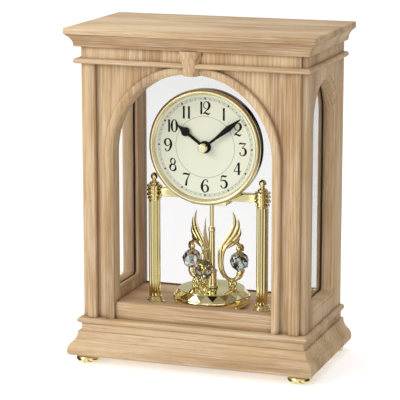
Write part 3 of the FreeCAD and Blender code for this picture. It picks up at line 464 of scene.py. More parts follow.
def crystal():
    """Cut crystal, clear, with painted glints and reflections: cells of dark green, white and amber in
    its colour.
    """
    tree = Shader("cut_crystal", IOR=1.72, Transmission_Weight=1.0)
    glint_cells = tree.node("ShaderNodeTexVoronoi", {"Vector": tree.place(230), "Scale": 1.0})
    glint_pick = tree.node("ShaderNodeSeparateColor", {"Color": glint_cells.outputs["Color"]}).outputs[0]
    # Painted glints and reflections: dark green, pale green, white and amber cells.
    tree.drive("Base Color", tree.ramp(glint_pick, (0.0, colour(54, 84, 76)), (0.20, colour(150, 184, 172)),
                                       (0.34, colour(252, 253, 253)), (0.78, colour(246, 249, 252)),
                                       (0.94, colour(176, 132, 92))))
    marks = tree.noise(90, 2.0)
    tree.drive("Roughness", tree.span(marks, 0.0, 0.015))
    return tree.material


def plastic(name, shade, rough):
    """Moulded plastic with a fine spark-eroded texture."""
    tree = Shader(name, IOR=1.47)
    cloud = tree.noise(35)
    tree.drive("Base Color", tree.mix(cloud, shade, toned(shade, 0.88)))
    tree.drive("Roughness", tree.span(cloud, rough, rough + 0.12))
    tree.bump(tree.noise(1400, 2.0), 0.25, 0.02)
    return tree.material


def dial_paint():
    """Silk-printed cream with a soft sheen and a trace of paper-like mottle."""
    tree = Shader("dial_cream", IOR=1.45)
    mottle = tree.noise(220, 4.0, 0.6)
    tree.drive("Base Color", tree.mix(mottle, colour(231, 233, 213), colour(226, 228, 207)))
    tree.drive("Roughness", tree.span(mottle, 0.38, 0.48))
    tree.bump(tree.noise(2600, 1.0), 0.05, 0.01)
    return tree.material


def ink(name, shade, rough):
    """Printing ink or paint, very slightly uneven."""
    tree = Shader(name, IOR=1.25)
    uneven = tree.noise(700, 2.0)
    tree.drive("Base Color", tree.mix(uneven, shade, toned(shade, 1.25, 0.004)))
    tree.drive("Roughness", tree.span(uneven, rough, rough + 0.08))
    return tree.material


def turned_steel():
    """Steel with fine turning marks."""
    tree = Shader("turned_steel", Metallic=1.0)
    marks = tree.noise(3000, 2.0)
    tree.drive("Base Color", tree.mix(marks, (0.60, 0.60, 0.61, 1), (0.52, 0.52, 0.54, 1)))
    tree.drive("Roughness", tree.span(marks, 0.22, 0.38))
    return tree.material


GOLD = brass("polished_gold", (0.90, 0.80, 0.46, 1), 0.05, 0.10)
FOOT_GOLD = brass("foot_gold", (0.92, 0.79, 0.40, 1), 0.24, 0.32)
SATIN = brass("satin_gold", (1.0, 0.92, 0.62, 1), 0.26, 0.34)
# Metal painted nearly black: a painted dark reflection for the drum's shell.
DARK_REFLECTION_METAL = brass("dark_bronze", (0.006, 0.004, 0.003, 1), 0.06, 0.12)
GLASS = pane("window_glass", 0.13, colour(140, 132, 122))
ACRYLIC = pane("clear_sheet", 0.16, colour(132, 118, 130))
CRYSTAL = crystal()
DIAL = dial_paint()
BLACK_INK = ink("black_ink", colour(8, 8, 7), 0.45)
GREY_INK = ink("grey_ink", colour(92, 98, 86), 0.5)
GOLD_INK = ink("gold_ink", colour(134, 114, 66), 0.4)
HAND_PAINT = ink("hand_black", colour(5, 5, 5), 0.3)
CELL = ink("cell_wrap", colour(46, 52, 66), 0.3)
# Dark brown for strips that stand in for shadow gaps: painted shade.
GAP_SHADE = plastic("gap_shade_paint", colour(122, 84, 54), 0.6)
BLACK = plastic("black_plastic", colour(34, 34, 36), 0.42)
GREY = plastic("grey_plastic", colour(70, 70, 72), 0.48)
WHITE = plastic("white_plastic", colour(228, 228, 222), 0.4)
STEEL = turned_steel()


def dress(node, material):
    """Gives a carried-over CAD node its material."""
    slots = frame["nodes"][node].data.materials
    slots.clear()
    slots.append(material)


# ---- Wooden case ----

ALONG_X = ("base_plinth", "base_board", "floor_board", "front_rail", "top_astragal",
           "cornice_board", "top_board", "ceiling_board", "back_top_rail")
ALONG_Z = ("front_frame", "left_pilaster", "right_pilaster", "left_arch_band",
           "right_arch_band", "keystone", "frieze_board", "left_side_panel",
           "right_side_panel", "left_glass_bead", "right_glass_bead")

# Boards whose edges aren't eased.
SMOOTH = ("left_arch_band", "right_arch_band")
# How many times lighter a board's wood is painted, as painted light: the floor board lies in the case's
# shade.
PAINTED_LIGHT_SHARE = {"floor_board": 1.35}
BOARD_EDGE = 0.4
# Where the pith lies in a board cut from the heart of the tree: y and z in mm.
HEART = {"base_plinth": (44.0, 22.0)}


def wooden_case():
    boards = [(node, "X") for node in ALONG_X] + [(node, "Z") for node in ALONG_Z]
    for seed, (node, axis) in enumerate(boards, start=1):
        material = wood(f"limed_wood_{node}", axis, seed, PAINTED_LIGHT_SHARE.get(node, 1.0), HEART.get(node))
        refined(node, material, 0 if node in SMOOTH else BOARD_EDGE)


# ---- Panes, painted shadow gaps and back door ----

PANE_CORNER = 7.0
# Dark strips round the side panes, painted shade for the shadow gap where each pane sits: their width
# and how far they lap past the pane.
GAP_SHADE_WIDTH, GAP_SHADE_LAP = 1.2, 0.4


def pane_outline(node, inset, arc_steps=40, corner_steps=8):
    """The (y, z) outline of a side pane in mm, drawn in by inset."""
    corner_low, corner_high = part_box(node)
    y_low, y_high = corner_low.y / MM + inset, corner_high.y / MM - inset
    z_low, z_high = corner_low.z / MM + inset, corner_high.z / MM - inset
    half, centre = (y_high - y_low) / 2, (y_low + y_high) / 2
    corner = PANE_CORNER - inset
    points = []
    for step in range(arc_steps + 1):
        angle = math.pi * step / arc_steps
        points.append((centre + half * math.cos(angle), z_high - half + half * math.sin(angle)))
    for y, start in ((y_low + corner, math.pi), (y_high - corner, 1.5 * math.pi)):
        for step in range(corner_steps + 1):
            angle = start + math.pi / 2 * step / corner_steps
            points.append((y + corner * math.cos(angle), z_low + corner + corner * math.sin(angle)))
    return points


def loop(bm, outline, x):
    return [bm.verts.new((x, y * MM, z * MM)) for y, z in outline]


def side_panes():
    for side in ("left", "right"):
        node = f"{side}_glass"
        x_low, x_high = low(node).x, high(node).x
        inner = pane_outline(node, GAP_SHADE_WIDTH)
        bm = bmesh.new()
        faces = [loop(bm, inner, x) for x in (x_low, x_high)]
        for face in faces:
            bm.faces.new(face)
        bridge(bm, *faces)
        add_piece(f"{side}_pane", to_mesh(bm, node), GLASS, CASE, [node])
        # A dark strip round the pane: painted shade for the shadow gap at its edge.
        bm = bmesh.new()
        outer = pane_outline(node, -GAP_SHADE_LAP)
        loops = [loop(bm, outline, x) for outline, x in
                 ((inner, x_low), (inner, x_high), (outer, x_high), (outer, x_low))]
        for first, second in zip(loops, loops[1:] + loops[:1]):
            bridge(bm, first, second)
        add_piece(f"{side}_pane_gap_shade", to_mesh(bm, "gap_shade_strip"), GAP_SHADE, CASE)


def strip(name, low_corner, high_corner, edge, material, body):
    """A thin bar between two corners, its edges rounded by edge mm."""
    bm = bmesh.new()
    bmesh.ops.create_cube(bm, size=1.0)
    size = high_corner - low_corner
    for vert in bm.verts:
        vert.co = low_corner + Vector((vert.co[i] + 0.5) * size[i] for i in range(3))
    bmesh.ops.bevel(bm, geom=list(bm.edges), offset=edge * MM, segments=3, profile=0.5,
                    affect="EDGES", clamp_overlap=True)
    return add_piece(name, to_mesh(bm, name), material, body)


def back_door():
    refined("back_door", ACRYLIC, 0.4, 3)
    refined("door_pivots", GOLD, 0.4)
    refined("door_catch", BLACK, 0.6, 3)
    spot = Vector((middle("door_knob").x, low("door_knob").y, middle("door_knob").z))
    knob = [(0, 0), (3.4, 0), (3.3, 0.5), (2.4, 0.9), (2.2, 1.5), (2.7, 2.1), (4.1, 2.5),
            (4.5, 3.1), (4.1, 3.8), (2.6, 4.2), (0, 4.35)]
    lathe("turned_door_knob", knob, spot, GOLD, DOOR, ["door_knob"], "Y", 0.25)
    # A dark strip along the door's foot: painted shade for the shadow gap under the door.
    inset = 0.25 * MM
    foot = Vector((low("back_door").x + inset, low("back_door").y + inset, FLOOR_Z + inset))
    head = Vector((high("back_door").x - inset, high("back_door").y - inset, low("back_door").z))
    strip("door_gap_shade", foot, head, 0.3, GAP_SHADE, DOOR)


# ---- Columns and feet ----

FLUTES, FLUTE_DEPTH = 12, 0.78
# Plain shaft at each end, and the length over which a flute reaches its depth.
PLAIN_END, RUN_OUT = 0.6, 3.0
# A flute is cut where the wave round the shaft is above minus this. The rest is land.
FLUTE_RISE = 0.35
FLANGE_TOP = 7.3


def fluted_shaft(name, node, start):
    """A round shaft from start mm above the floor board, whose flutes run out in round ends."""
    corner_low, corner_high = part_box(node)
    corner_low.z = FLOOR_Z + start * MM
    centre = (corner_low + corner_high) / 2
    radius = (corner_high.x - corner_low.x) / 2 / MM + 0.02
    length = (corner_high.z - corner_low.z) / MM
    sides = FLUTES * 10
    rows = [0, 0.6, 1.2, 1.8, 2.6, 3.6, length / 2]
    rows = rows + [length - row for row in reversed(rows[:-1])]
    bm = bmesh.new()
    loops = []
    for row in rows:
        reach = min(max((min(row, length - row) - PLAIN_END) / RUN_OUT, 0.0), 1.0)
        depth = FLUTE_DEPTH * math.sin(reach * math.pi / 2)
        points = []
        for side in range(sides):
            angle = 2 * math.pi * side / sides
            wave = math.cos(angle * FLUTES)
            bite = depth * max(0.0, (wave + FLUTE_RISE) / (1 + FLUTE_RISE)) ** 0.8
            points.append(bm.verts.new((centre.x + (radius - bite) * MM * math.cos(angle),
                                        centre.y + (radius - bite) * MM * math.sin(angle),
                                        corner_low.z + row * MM)))
        loops.append(points)
    skin(bm, loops)
    return add_piece(name, to_mesh(bm, name, 50.0), GOLD, CASE, [node])


def columns():
    base = [(0, 0), (9.2, 0), (9.25, 0.8), (9.0, 1.7), (8.2, 2.3), (7.5, 2.7), (7.9, 3.3),
            (8.0, 4.0), (7.5, 4.7), (6.9, 5.0), (6.7, 5.8), (6.9, 6.6), (6.2, 7.1), (5.4, 7.4),
            (0, 7.4)]
    capital = [(0, 0), (6.3, 0), (6.7, 0.5), (6.7, 1.3), (6.0, 1.9), (5.7, 2.4), (6.3, 2.9),
               (7.3, 3.6), (7.6, 4.6), (7.3, 5.6), (6.4, 6.2), (6.2, 6.7), (6.6, 7.2), (7.4, 7.9),
               (7.6, 8.8), (7.2, 9.6), (6.3, 10.1), (6.2, 10.6), (6.9, 11.1), (7.5, 11.8),
               (7.6, 12.6), (7.0, 13.3), (5.4, 13.8), (4.5, 14.4), (4.9, 15.1), (4.3, 15.8),
               (3.0, 16.3), (2.0, 17.0), (1.7, 17.7), (2.1, 18.3), (3.0, 19.0), (3.5, 20.1),
               (3.55, 21.3), (3.2, 22.6), (2.4, 23.7), (1.3, 24.5), (0, 24.85)]
    for side in ("left", "right"):
        foot = f"{side}_column_base"
        spot = Vector((middle(foot).x, middle(foot).y, low(foot).z))
        lathe(f"{side}_turned_base", base, spot, GOLD, CASE, [foot], ease=0.5)
        shaft = f"{side}_column_shaft"
        fluted_shaft(f"{side}_fluted_shaft", shaft, FLANGE_TOP)
        head = f"{side}_column_capital"
        spot = Vector((middle(head).x, middle(head).y, low(head).z))
        lathe(f"{side}_turned_capital", capital, spot, GOLD, CASE, [head], ease=0.5)
    refined("cross_bar", GOLD, 0.5, 3)


def feet():
    bun = [(0, 0.0), (8.3, 0.0), (9.8, 0.5), (10.9, 1.5), (11.4, 2.8), (11.35, 4.1), (10.8, 5.5),
           (9.7, 6.7), (9.4, 7.1), (9.7, 7.5), (9.5, 8.0), (0, 8.0)]
    corner_low, corner_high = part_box("feet")
    reach = 11.5 * MM
    bm = bmesh.new()
    for x in (corner_low.x + reach, corner_high.x - reach):
        for y in (corner_low.y + reach, corner_high.y - reach):
            lathe_into(bm, rounded(bun, 0.4), Vector((x, y, 0)))
    add_piece("turned_feet", to_mesh(bm, "feet"), FOOT_GOLD, CASE, ["feet"])
    dress("foot_studs", STEEL)


# ---- Clock head ----

DRUM_R = 53.1
PAINT_EDGE = 0.12
# Paint that makes the hands bolder.
HAND_COAT = 0.38


def clock_head():
    centre = Vector((0, DIAL_FRONT, DIAL_Z))
    ring = [(48.32, 0.0), (48.32, -1.3), (48.7, -1.75), (49.3, -2.2), (49.5, -2.9), (49.75, -3.8),
            (50.3, -4.35), (51.0, -4.48), (51.8, -4.25), (52.7, -3.6), (53.4, -2.6), (53.75, -1.5),
            (53.6, -0.6), (53.2, 0.0), (48.32, 0.0)]
    lathe("turned_bezel", ring, centre, SATIN, CASE, ["bezel"], "Y", 0.35)
    depth = (high("drum_case").y - DIAL_FRONT) / MM
    shell = [(50.7, 0), (DRUM_R, 0), (DRUM_R, depth - 1.0), (DRUM_R - 0.7, depth), (50.7, depth),
             (50.7, 0)]
    # The drum's shell is painted nearly black, as a painted dark reflection.
    lathe("drum_shell", shell, centre, DARK_REFLECTION_METAL, CASE, ["drum_case"], "Y", 0.3)
    dress("dial", DIAL)
    refined("drum_back", GREY, 0.3)
    refined("movement_case", BLACK, 0.5, 3)
    refined("movement_cover", BLACK, 0.3)
    dress("motor_module", GREY)
    refined("centre_nut", HAND_PAINT, 0.2)
    dress("minute_arbor", STEEL)
    dress("motion_wheel", WHITE)
    dress("hour_wheel", WHITE)
    for hand in ("hour_hand", "minute_hand"):
        refined(hand, HAND_PAINT, PAINT_EDGE, coat=HAND_COAT)
    cap_spot = Vector((0, high("centre_cap").y, DIAL_Z))
    cap = [(0, 0), (4.0, 0), (4.08, -0.4), (4.08, -3.9), (3.8, -4.5), (3.0, -4.85), (0, -4.9)]
    lathe("turned_cap", cap, cap_spot, SATIN, MINUTE, ["centre_cap"], "Y", 0.3)


def knurled_knob():
    """The hand-setting knob, with a grooved grip."""
    node = "set_knob"
    corner_low, corner_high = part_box(node)
    centre, radius = middle(node), (corner_high.x - corner_low.x) / 2 / MM - 0.05
    depth = (corner_high.y - corner_low.y) / MM
    ridges, sides = 24, 24 * 6
    bm = bmesh.new()
    loops = []
    for height, inset, ridge in ((0, 0.5, 0), (0.4, 0.1, 0.1), (0.9, 0, 0.32), (depth - 0.9, 0, 0.32),
                                 (depth - 0.4, 0.1, 0.1), (depth, 0.6, 0)):
        points = []
        for side in range(sides):
            angle = 2 * math.pi * side / sides
            r = (radius - inset - ridge * (0.5 + 0.5 * math.cos(angle * ridges))) * MM
            points.append(bm.verts.new((centre.x + r * math.cos(angle), corner_low.y + height * MM,
                                        centre.z + r * math.sin(angle))))
        loops.append(points)
    skin(bm, loops)
    add_piece("setting_knob", to_mesh(bm, node), BLACK, MOTION, [node])


def battery():
    """A round cell with its rolled ends, its cap and its wrap."""
    corner_low, corner_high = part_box("battery")
    spot = Vector((corner_low.x, middle("battery").y, middle("battery").z))
    length = (corner_high.x - corner_low.x) / MM
    body = length - 1.2
    wrap = [(0, 0.15), (5.6, 0.15), (5.9, 0.0), (6.6, 0.0), (7.05, 0.35), (7.05, body - 0.4),
            (6.6, body), (5.6, body), (5.2, body - 0.3), (2.7, body - 0.3), (2.7, length - 0.2),
            (2.4, length), (0, length)]
    lathe("round_cell", wrap, spot, CELL, CASE, ["battery"], "X", 0.2)


# ---- Printing on the dial ----

NUMERAL_RADIUS, NUMERAL_HIGH, NUMERAL_WIDE = 36.0, 11.8, 6.9
INK_THICK = 0.035
# A pen stroke is this many times its drawn half-width, and this much wider again.
PEN_GAIN, PEN_EXTRA = 1.12, 0.06
TRACK_R, TRACK_LINES, INNER_CIRCLE = 44.7, ((43.5, 43.72), (45.68, 45.9)), (28.12, 28.44)
HOUR_DOT, MINUTE_DOT, HALF_DOT = 0.85, 0.55, 0.32
# The angle in radians of each small dot of a pair from the half minute.
HALF_APART = 0.018


def dial_point(x, z, raised):
    """A point on the dial in mm from its centre, raised mm proud of its face."""
    return Vector((x * MM, DIAL_FRONT - raised * MM, DIAL_Z + z * MM))


def plate_into(bm, left, right, closed=False):
    """A flat printed band between two lines of (x, z) points, with a real thickness."""
    fronts = [[bm.verts.new(dial_point(x, z, INK_THICK)) for x, z in side] for side in (left, right)]
    backs = [[bm.verts.new(dial_point(x, z, 0.0)) for x, z in side] for side in (left, right)]
    count = len(left)
    for n in range(count if closed else count - 1):
        after = (n + 1) % count
        bm.faces.new((fronts[0][n], fronts[0][after], fronts[1][after], fronts[1][n]))
        bm.faces.new((backs[0][n], backs[1][n], backs[1][after], backs[0][after]))
        for front, back in zip(fronts, backs):
            bm.faces.new((front[n], back[n], back[after], front[after]))
    if not closed:
        for n in (0, count - 1):
            bm.faces.new((fronts[0][n], fronts[1][n], backs[1][n], backs[0][n]))


def stroke_into(bm, knots, at):
    """A pen stroke through the knots (x, y, half-width): x and y as shares of the digit."""
    sized = [Vector((at[0] + x * at[2], at[1] + y * at[3], w)) for x, y, w in knots]
    path = spline(sized, 7)
    left, right = [], []
    for index, knot in enumerate(path):
        ahead, behind = path[min(index + 1, len(path) - 1)], path[max(index - 1, 0)]
        along = Vector((ahead.x - behind.x, ahead.y - behind.y)).normalized()
        across = Vector((-along.y, along.x)) * (knot.z * PEN_GAIN + PEN_EXTRA)
        left.append((knot.x + across.x, knot.y + across.y))
        right.append((knot.x - across.x, knot.y - across.y))
    plate_into(bm, left, right)


def spot_into(bm, x, z, radius, sides=20):
    front = [bm.verts.new(dial_point(x + radius * math.cos(2 * math.pi * n / sides),
                                     z + radius * math.sin(2 * math.pi * n / sides), INK_THICK))
             for n in range(sides)]
    back = [bm.verts.new(vert.co + Vector((0, INK_THICK * MM, 0))) for vert in front]
    bm.faces.new(front)
    bm.faces.new(list(reversed(back)))
    bridge(bm, front, back)


def ring_into(bm, inner, outer, sides=240):
    edges = [[(r * math.cos(2 * math.pi * n / sides), r * math.sin(2 * math.pi * n / sides))
              for n in range(sides)] for r in (inner, outer)]
    plate_into(bm, *edges, closed=True)


def oval(cx, cy, rx, ry, thin, thick, lean=0.0, steps=16):
    """A closed pen stroke round an oval, thickest where it runs up and down."""
    knots = []
    for step in range(steps + 1):
        angle = 2 * math.pi * step / steps
        knots.append((cx + rx * math.cos(angle), cy + ry * math.sin(angle),
                      thin + (thick - thin) * math.cos(angle + lean) ** 2))
    return knots


SIX = [(0.88, 0.90, 0.30), (0.66, 1.0, 0.28), (0.33, 0.90, 0.50), (0.09, 0.60, 0.95),
       (0.08, 0.28, 0.98), (0.33, 0.03, 0.45), (0.60, 0.01, 0.35), (0.88, 0.15, 0.72),
       (0.92, 0.35, 0.85), (0.74, 0.54, 0.50), (0.46, 0.56, 0.28), (0.20, 0.42, 0.22)]

# Each digit: its pen strokes, then its round ends as (x, y, radius).
DIGITS = {
    "0": ([oval(0.5, 0.5, 0.40, 0.48, 0.28, 0.98)], []),
    "1": ([[(0.5, 0.0, 0.86), (0.5, 0.5, 0.78), (0.5, 0.98, 0.86)]], []),
    "2": ([[(0.52, 0.44, 0.22), (0.22, 0.49, 0.28), (0.06, 0.68, 0.36), (0.18, 0.91, 0.30),
            (0.50, 1.0, 0.35), (0.84, 0.90, 0.82), (0.93, 0.70, 0.98), (0.80, 0.50, 0.78),
            (0.48, 0.31, 0.40), (0.16, 0.15, 0.26), (0.02, 0.04, 0.24)],
           [(0.02, 0.03, 0.20), (0.22, 0.12, 0.62), (0.50, 0.08, 0.74), (0.76, 0.03, 0.68),
            (1.0, 0.13, 0.24)]], []),
    "3": ([[(0.04, 0.86, 0.24), (0.12, 0.95, 0.58), (0.50, 0.94, 0.58), (0.94, 0.97, 0.28)],
           [(0.92, 0.96, 0.26), (0.68, 0.77, 0.24), (0.42, 0.58, 0.24)],
           [(0.42, 0.58, 0.24), (0.72, 0.57, 0.58), (0.93, 0.38, 0.98), (0.84, 0.12, 0.78),
            (0.50, 0.01, 0.34), (0.20, 0.05, 0.30), (0.10, 0.16, 0.30)]], [(0.16, 0.19, 0.86)]),
    "4": ([[(0.68, 0.0, 0.88), (0.68, 0.4, 0.84), (0.68, 0.97, 0.88)],
           [(0.62, 0.97, 0.26), (0.32, 0.62, 0.24), (0.0, 0.27, 0.26)],
           [(0.0, 0.27, 0.26), (0.5, 0.27, 0.28), (1.0, 0.28, 0.34)]], []),
    "5": ([[(0.16, 0.92, 0.50), (0.42, 0.96, 0.72), (0.72, 0.93, 0.68), (0.96, 1.0, 0.24)],
           [(0.18, 0.94, 0.28), (0.15, 0.75, 0.26), (0.11, 0.56, 0.24)],
           [(0.11, 0.55, 0.24), (0.40, 0.62, 0.40), (0.78, 0.55, 0.82), (0.93, 0.33, 0.98),
            (0.78, 0.09, 0.74), (0.45, 0.01, 0.34), (0.17, 0.06, 0.30)]], [(0.15, 0.15, 0.82)]),
    "6": ([SIX], [(0.84, 0.86, 0.76)]),
    "7": ([[(0.0, 0.85, 0.24), (0.12, 0.95, 0.58), (0.42, 0.95, 0.74), (0.72, 0.92, 0.66),
            (1.0, 0.98, 0.30)],
           [(0.98, 0.96, 0.26), (0.74, 0.70, 0.36), (0.52, 0.38, 0.68), (0.44, 0.0, 0.98)]], []),
    "8": ([oval(0.5, 0.75, 0.31, 0.235, 0.26, 0.66, 0.5),
           oval(0.5, 0.255, 0.41, 0.25, 0.30, 0.84, 0.5)], []),
    "9": ([[(1 - x, 1 - y, w) for x, y, w in SIX]], [(0.16, 0.14, 0.76)]),
}
# Widths as shares of a single digit's: a 1, another digit of a pair, and the gaps.
ONE_WIDE, PAIRED_WIDE, GAP_WIDE, ELEVEN_GAP = 0.30, 0.92, 0.12, 0.42


def numeral_into(bm, text, x, z):
    """Draws an hour's number, centred at (x, z) mm."""
    wide = [NUMERAL_WIDE * (ONE_WIDE if mark == "1" else PAIRED_WIDE if len(text) > 1 else 1.0)
            for mark in text]
    gap = NUMERAL_WIDE * (ELEVEN_GAP if text == "11" else GAP_WIDE)
    left = x - (sum(wide) + gap * (len(text) - 1)) / 2
    for mark, width in zip(text, wide):
        strokes, ends = DIGITS[mark]
        at = (left, z - NUMERAL_HIGH / 2, width, NUMERAL_HIGH)
        for knots in strokes:
            stroke_into(bm, knots, at)
        for end_x, end_y, radius in ends:
            spot_into(bm, at[0] + end_x * at[2], at[1] + end_y * at[3], radius)
        left += width + gap


def around(radius, angle):
    """The (x, z) point on the dial at an angle clockwise from the 12."""
    return radius * math.sin(angle), radius * math.cos(angle)


def dial_printing():
    numbers, track, dots, circle = (bmesh.new() for _ in range(4))
    for hour in range(1, 13):
        angle = math.radians(30 * hour)
        numeral_into(numbers, str(hour), *around(NUMERAL_RADIUS, angle))
        spot_into(dots, *around(TRACK_R, angle), HOUR_DOT)
    for edges in TRACK_LINES:
        ring_into(track, *edges)
    for minute in range(60):
        if minute % 5:
            spot_into(track, *around(TRACK_R, math.radians(6 * minute)), MINUTE_DOT, 14)
        half = math.radians(6 * minute + 3)
        for turn in (half - HALF_APART, half + HALF_APART):
            spot_into(track, *around(TRACK_R, turn), HALF_DOT, 10)
    ring_into(circle, *INNER_CIRCLE)
    for name, bm, ink_used in (("dial_numerals", numbers, BLACK_INK), ("minute_track", track, GREY_INK),
                               ("hour_dots", dots, BLACK_INK), ("inner_circle", circle, GOLD_INK)):
        add_piece(name, to_mesh(bm, name, 20.0), ink_used, CASE)


# ---- Pendulum ----

FACET_COUNT = 18
PLATE_R, BAND_R, BAND_Z = 31.0, 34.6, 10.2


def facet_ring(bm, centre, radius, height, shift):
    """The facets' corners at one height, turned by a share of a facet."""
    ring = []
    for n in range(FACET_COUNT):
        angle = 2 * math.pi * (n + shift) / FACET_COUNT
        spot = Vector((radius * math.cos(angle), radius * math.sin(angle), height))
        ring.append(bm.verts.new(centre + spot * MM))
    return ring


def disc():
    """The weighted disc: a flat plate, a band of triangular facets and a rounded rim."""
    centre = Vector((0, AXIS_Y, DISC_Z))
    top = (PLATE_Z - DISC_Z) / MM
    bm = bmesh.new()
    upper = facet_ring(bm, centre, PLATE_R, top - 0.5, 0.0)
    lower = facet_ring(bm, centre, BAND_R, BAND_Z, 0.5)
    for n in range(FACET_COUNT):
        after = (n + 1) % FACET_COUNT
        bm.faces.new((upper[n], lower[n], upper[after]))
        bm.faces.new((upper[after], lower[n], lower[after]))
    inner_top = [bm.verts.new(vert.co - (vert.co - centre).normalized() * 1.5 * MM
                              - Vector((0, 0, 1.0)) * MM) for vert in upper]
    inner_low = [bm.verts.new(vert.co - Vector((0, 0, 0.8)) * MM) for vert in lower]
    for first, second in ((upper, inner_top), (lower, inner_low), (inner_top, inner_low)):
        bridge(bm, first, second)
    add_piece("disc_facets", to_mesh(bm, "facets", 0.0), GOLD, PENDULUM)
    body = [(4.3, top - 1.4), (4.3, top), (30.2, top), (30.9, top - 0.25), (30.9, top - 0.9),
            (30.2, top - 1.6), (32.4, BAND_Z + 0.2), (34.2, 10.0), (35.1, 9.9), (35.9, 9.2),
            (36.25, 8.0), (36.28, 6.6), (36.0, 5.2), (35.2, 4.2), (34.4, 3.6), (34.2, 2.8),
            (34.5, 2.0), (34.1, 0.9), (33.2, 0.3), (31.6, 0.0), (29.4, 0.0), (29.4, 1.5),
            (4.3, 1.5), (4.3, top - 1.4)]
    lathe("turned_disc", body, centre, GOLD, PENDULUM, ["pendulum_disc"], ease=0.3)


def spindle():
    node = "pendulum_spindle"
    spot = Vector((0, AXIS_Y, low(node).z))
    length = (high(node).z - low(node).z) / MM
    up = (PLATE_Z - low(node).z) / MM
    profile = [(0, 0), (4.15, 0), (4.15, up), (6.2, up + 0.2), (6.2, up + 1.3), (5.2, up + 1.9),
               (4.9, up + 3.2), (4.7, up + 8), (4.5, up + 14.6), (5.2, up + 15.3), (5.3, up + 16.4),
               (4.6, up + 17.2), (3.4, up + 17.9), (3.1, up + 19.2), (2.9, up + 53.4),
               (3.3, up + 53.8), (3.5, up + 54.6), (3.2, up + 55.3), (3.4, up + 56.0),
               (3.1, up + 56.9), (2.2, up + 57.5), (1.88, up + 58.6), (1.88, length), (0, length)]
    lathe("turned_spindle", profile, spot, GOLD, PENDULUM, [node], ease=0.35)
    dress("rotor_magnet", STEEL)
    refined("drive_case", SATIN, 0.6, 3)


SWANS = {"right": 33.0, "rear": 153.0, "front": 273.0}
RING_U, RING_Z, RING_A, RING_B = 20.2, 89.6, 10.6, 18.4
GEM_U, GEM_Z, GEM_R = 26.6, 89.0, 9.4
# A gem's rows of corners: degrees above its middle, how many, and their turn.
GEM_ROWS = ((72, 5, 0.0), (38, 8, 0.5), (4, 8, 0.0), (-32, 8, 0.5), (-68, 5, 0.0))


def ring_knots(start_deg, end_deg, radii):
    """Knots along the swan's oval from one angle to another, with a radius at each."""
    knots = []
    for index, radius in enumerate(radii):
        angle = math.radians(start_deg + (end_deg - start_deg) * index / (len(radii) - 1))
        knots.append((RING_U + RING_A * math.cos(angle), 0.0, RING_Z + RING_B * math.sin(angle), radius))
    return knots


# A swan's parts, as knots (distance from the axis, sideways, height, radius) in mm.
FEATHERS = (
    ((8.0, 0, 103.0, 1.2), (12.6, 0, 109.0, 2.0), (18.2, 0, 116.8, 2.2), (21.6, 0, 124.6, 1.9),
     (21.6, 0, 131.0, 1.3), (20.0, 0, 136.4, 0.4)),
    ((9.8, 0, 102.4, 1.1), (15.4, 0, 107.8, 2.0), (21.4, 0, 114.4, 2.3), (24.9, 0, 120.6, 1.9),
     (25.6, 0, 125.4, 1.2), (25.2, 0, 129.2, 0.35)),
    ((11.8, 0, 101.6, 1.0), (17.6, 0, 106.2, 1.8), (23.2, 0, 110.8, 2.2), (26.6, 0, 115.0, 1.7),
     (27.6, 0, 119.8, 0.4)),
    ((14.2, 0, 102.2, 0.9), (19.4, 0, 105.2, 1.5), (24.0, 0, 107.8, 1.7), (27.0, 0, 110.6, 0.5)),
)
BODY = ((12.6, 0, 74.6, 1.6), (9.2, 0, 82.0, 2.2), (7.9, 0, 91.0, 2.3), (8.2, 0, 99.0, 2.2),
        (9.6, 0, 104.6, 1.6))
HEAD = ((29.6, 0, 100.8, 1.9), (28.4, 0, 103.4, 2.2), (26.4, 0, 103.6, 2.4))
BEAK = ((26.0, 0, 98.6, 1.9), (25.4, 0, 96.9, 1.2), (25.3, 0, 95.6, 0.5))
TAIL = ((24.0, 0, 72.6, 2.2), (26.2, 0, 74.6, 3.0), (27.4, 0, 77.6, 3.4), (27.4, 0, 80.2, 2.6))
CURL = ((28.8, 0, 76.6, 1.4), (30.2, 0, 79.4, 1.6), (30.0, 0, 82.6, 1.1), (28.8, 0, 84.2, 0.4))
FOOT = ((20.4, 0, 72.6, 2.2), (20.2, 0, 71.4, 3.0), (20.2, 0, 70.0, 2.2), (20.2, 0, 68.6, 2.9),
        (20.2, 0, 67.0, 2.5))
LEAVES = ((-1, 1), (1, 1), (-1, -1), (1, -1))


def swan_into(bm, place):
    """One swan: an oval neck and breast, a bowed head, a tail, a swept wing and a foot."""
    neck = ring_knots(-58, -330, (2.2, 2.1, 1.9, 1.7, 1.6, 1.6, 1.7, 1.8, 1.7, 1.6, 1.6, 1.8, 2.1))
    tube_into(bm, neck, place, 0.85, 16, 6)
    tube_into(bm, BODY, place, 0.6, 16, 6)
    ball_into(bm, (26.4, 0.0, 100.6), (3.1, 2.7, 3.5), place, -0.3)
    for knots, flat in ((HEAD, 0.9), (BEAK, 0.8), (TAIL, 0.9), (CURL, 0.7), (FOOT, 1.0)):
        tube_into(bm, knots, place, flat, 16, 6)
    for knots in FEATHERS:
        tube_into(bm, knots, place, 0.42, 16, 8)
    for out, side in LEAVES:
        leaf = [(20.2 + out * 0.4, side * 0.5, 71.4, 0.9), (20.2 + out * 1.7, side * 1.5, 69.6, 1.7),
                (20.2 + out * 2.5, side * 2.1, 67.8, 1.5), (20.2 + out * 3.4, side * 2.7, 66.4, 0.5)]
        tube_into(bm, leaf, place, 0.55, 12, 5)


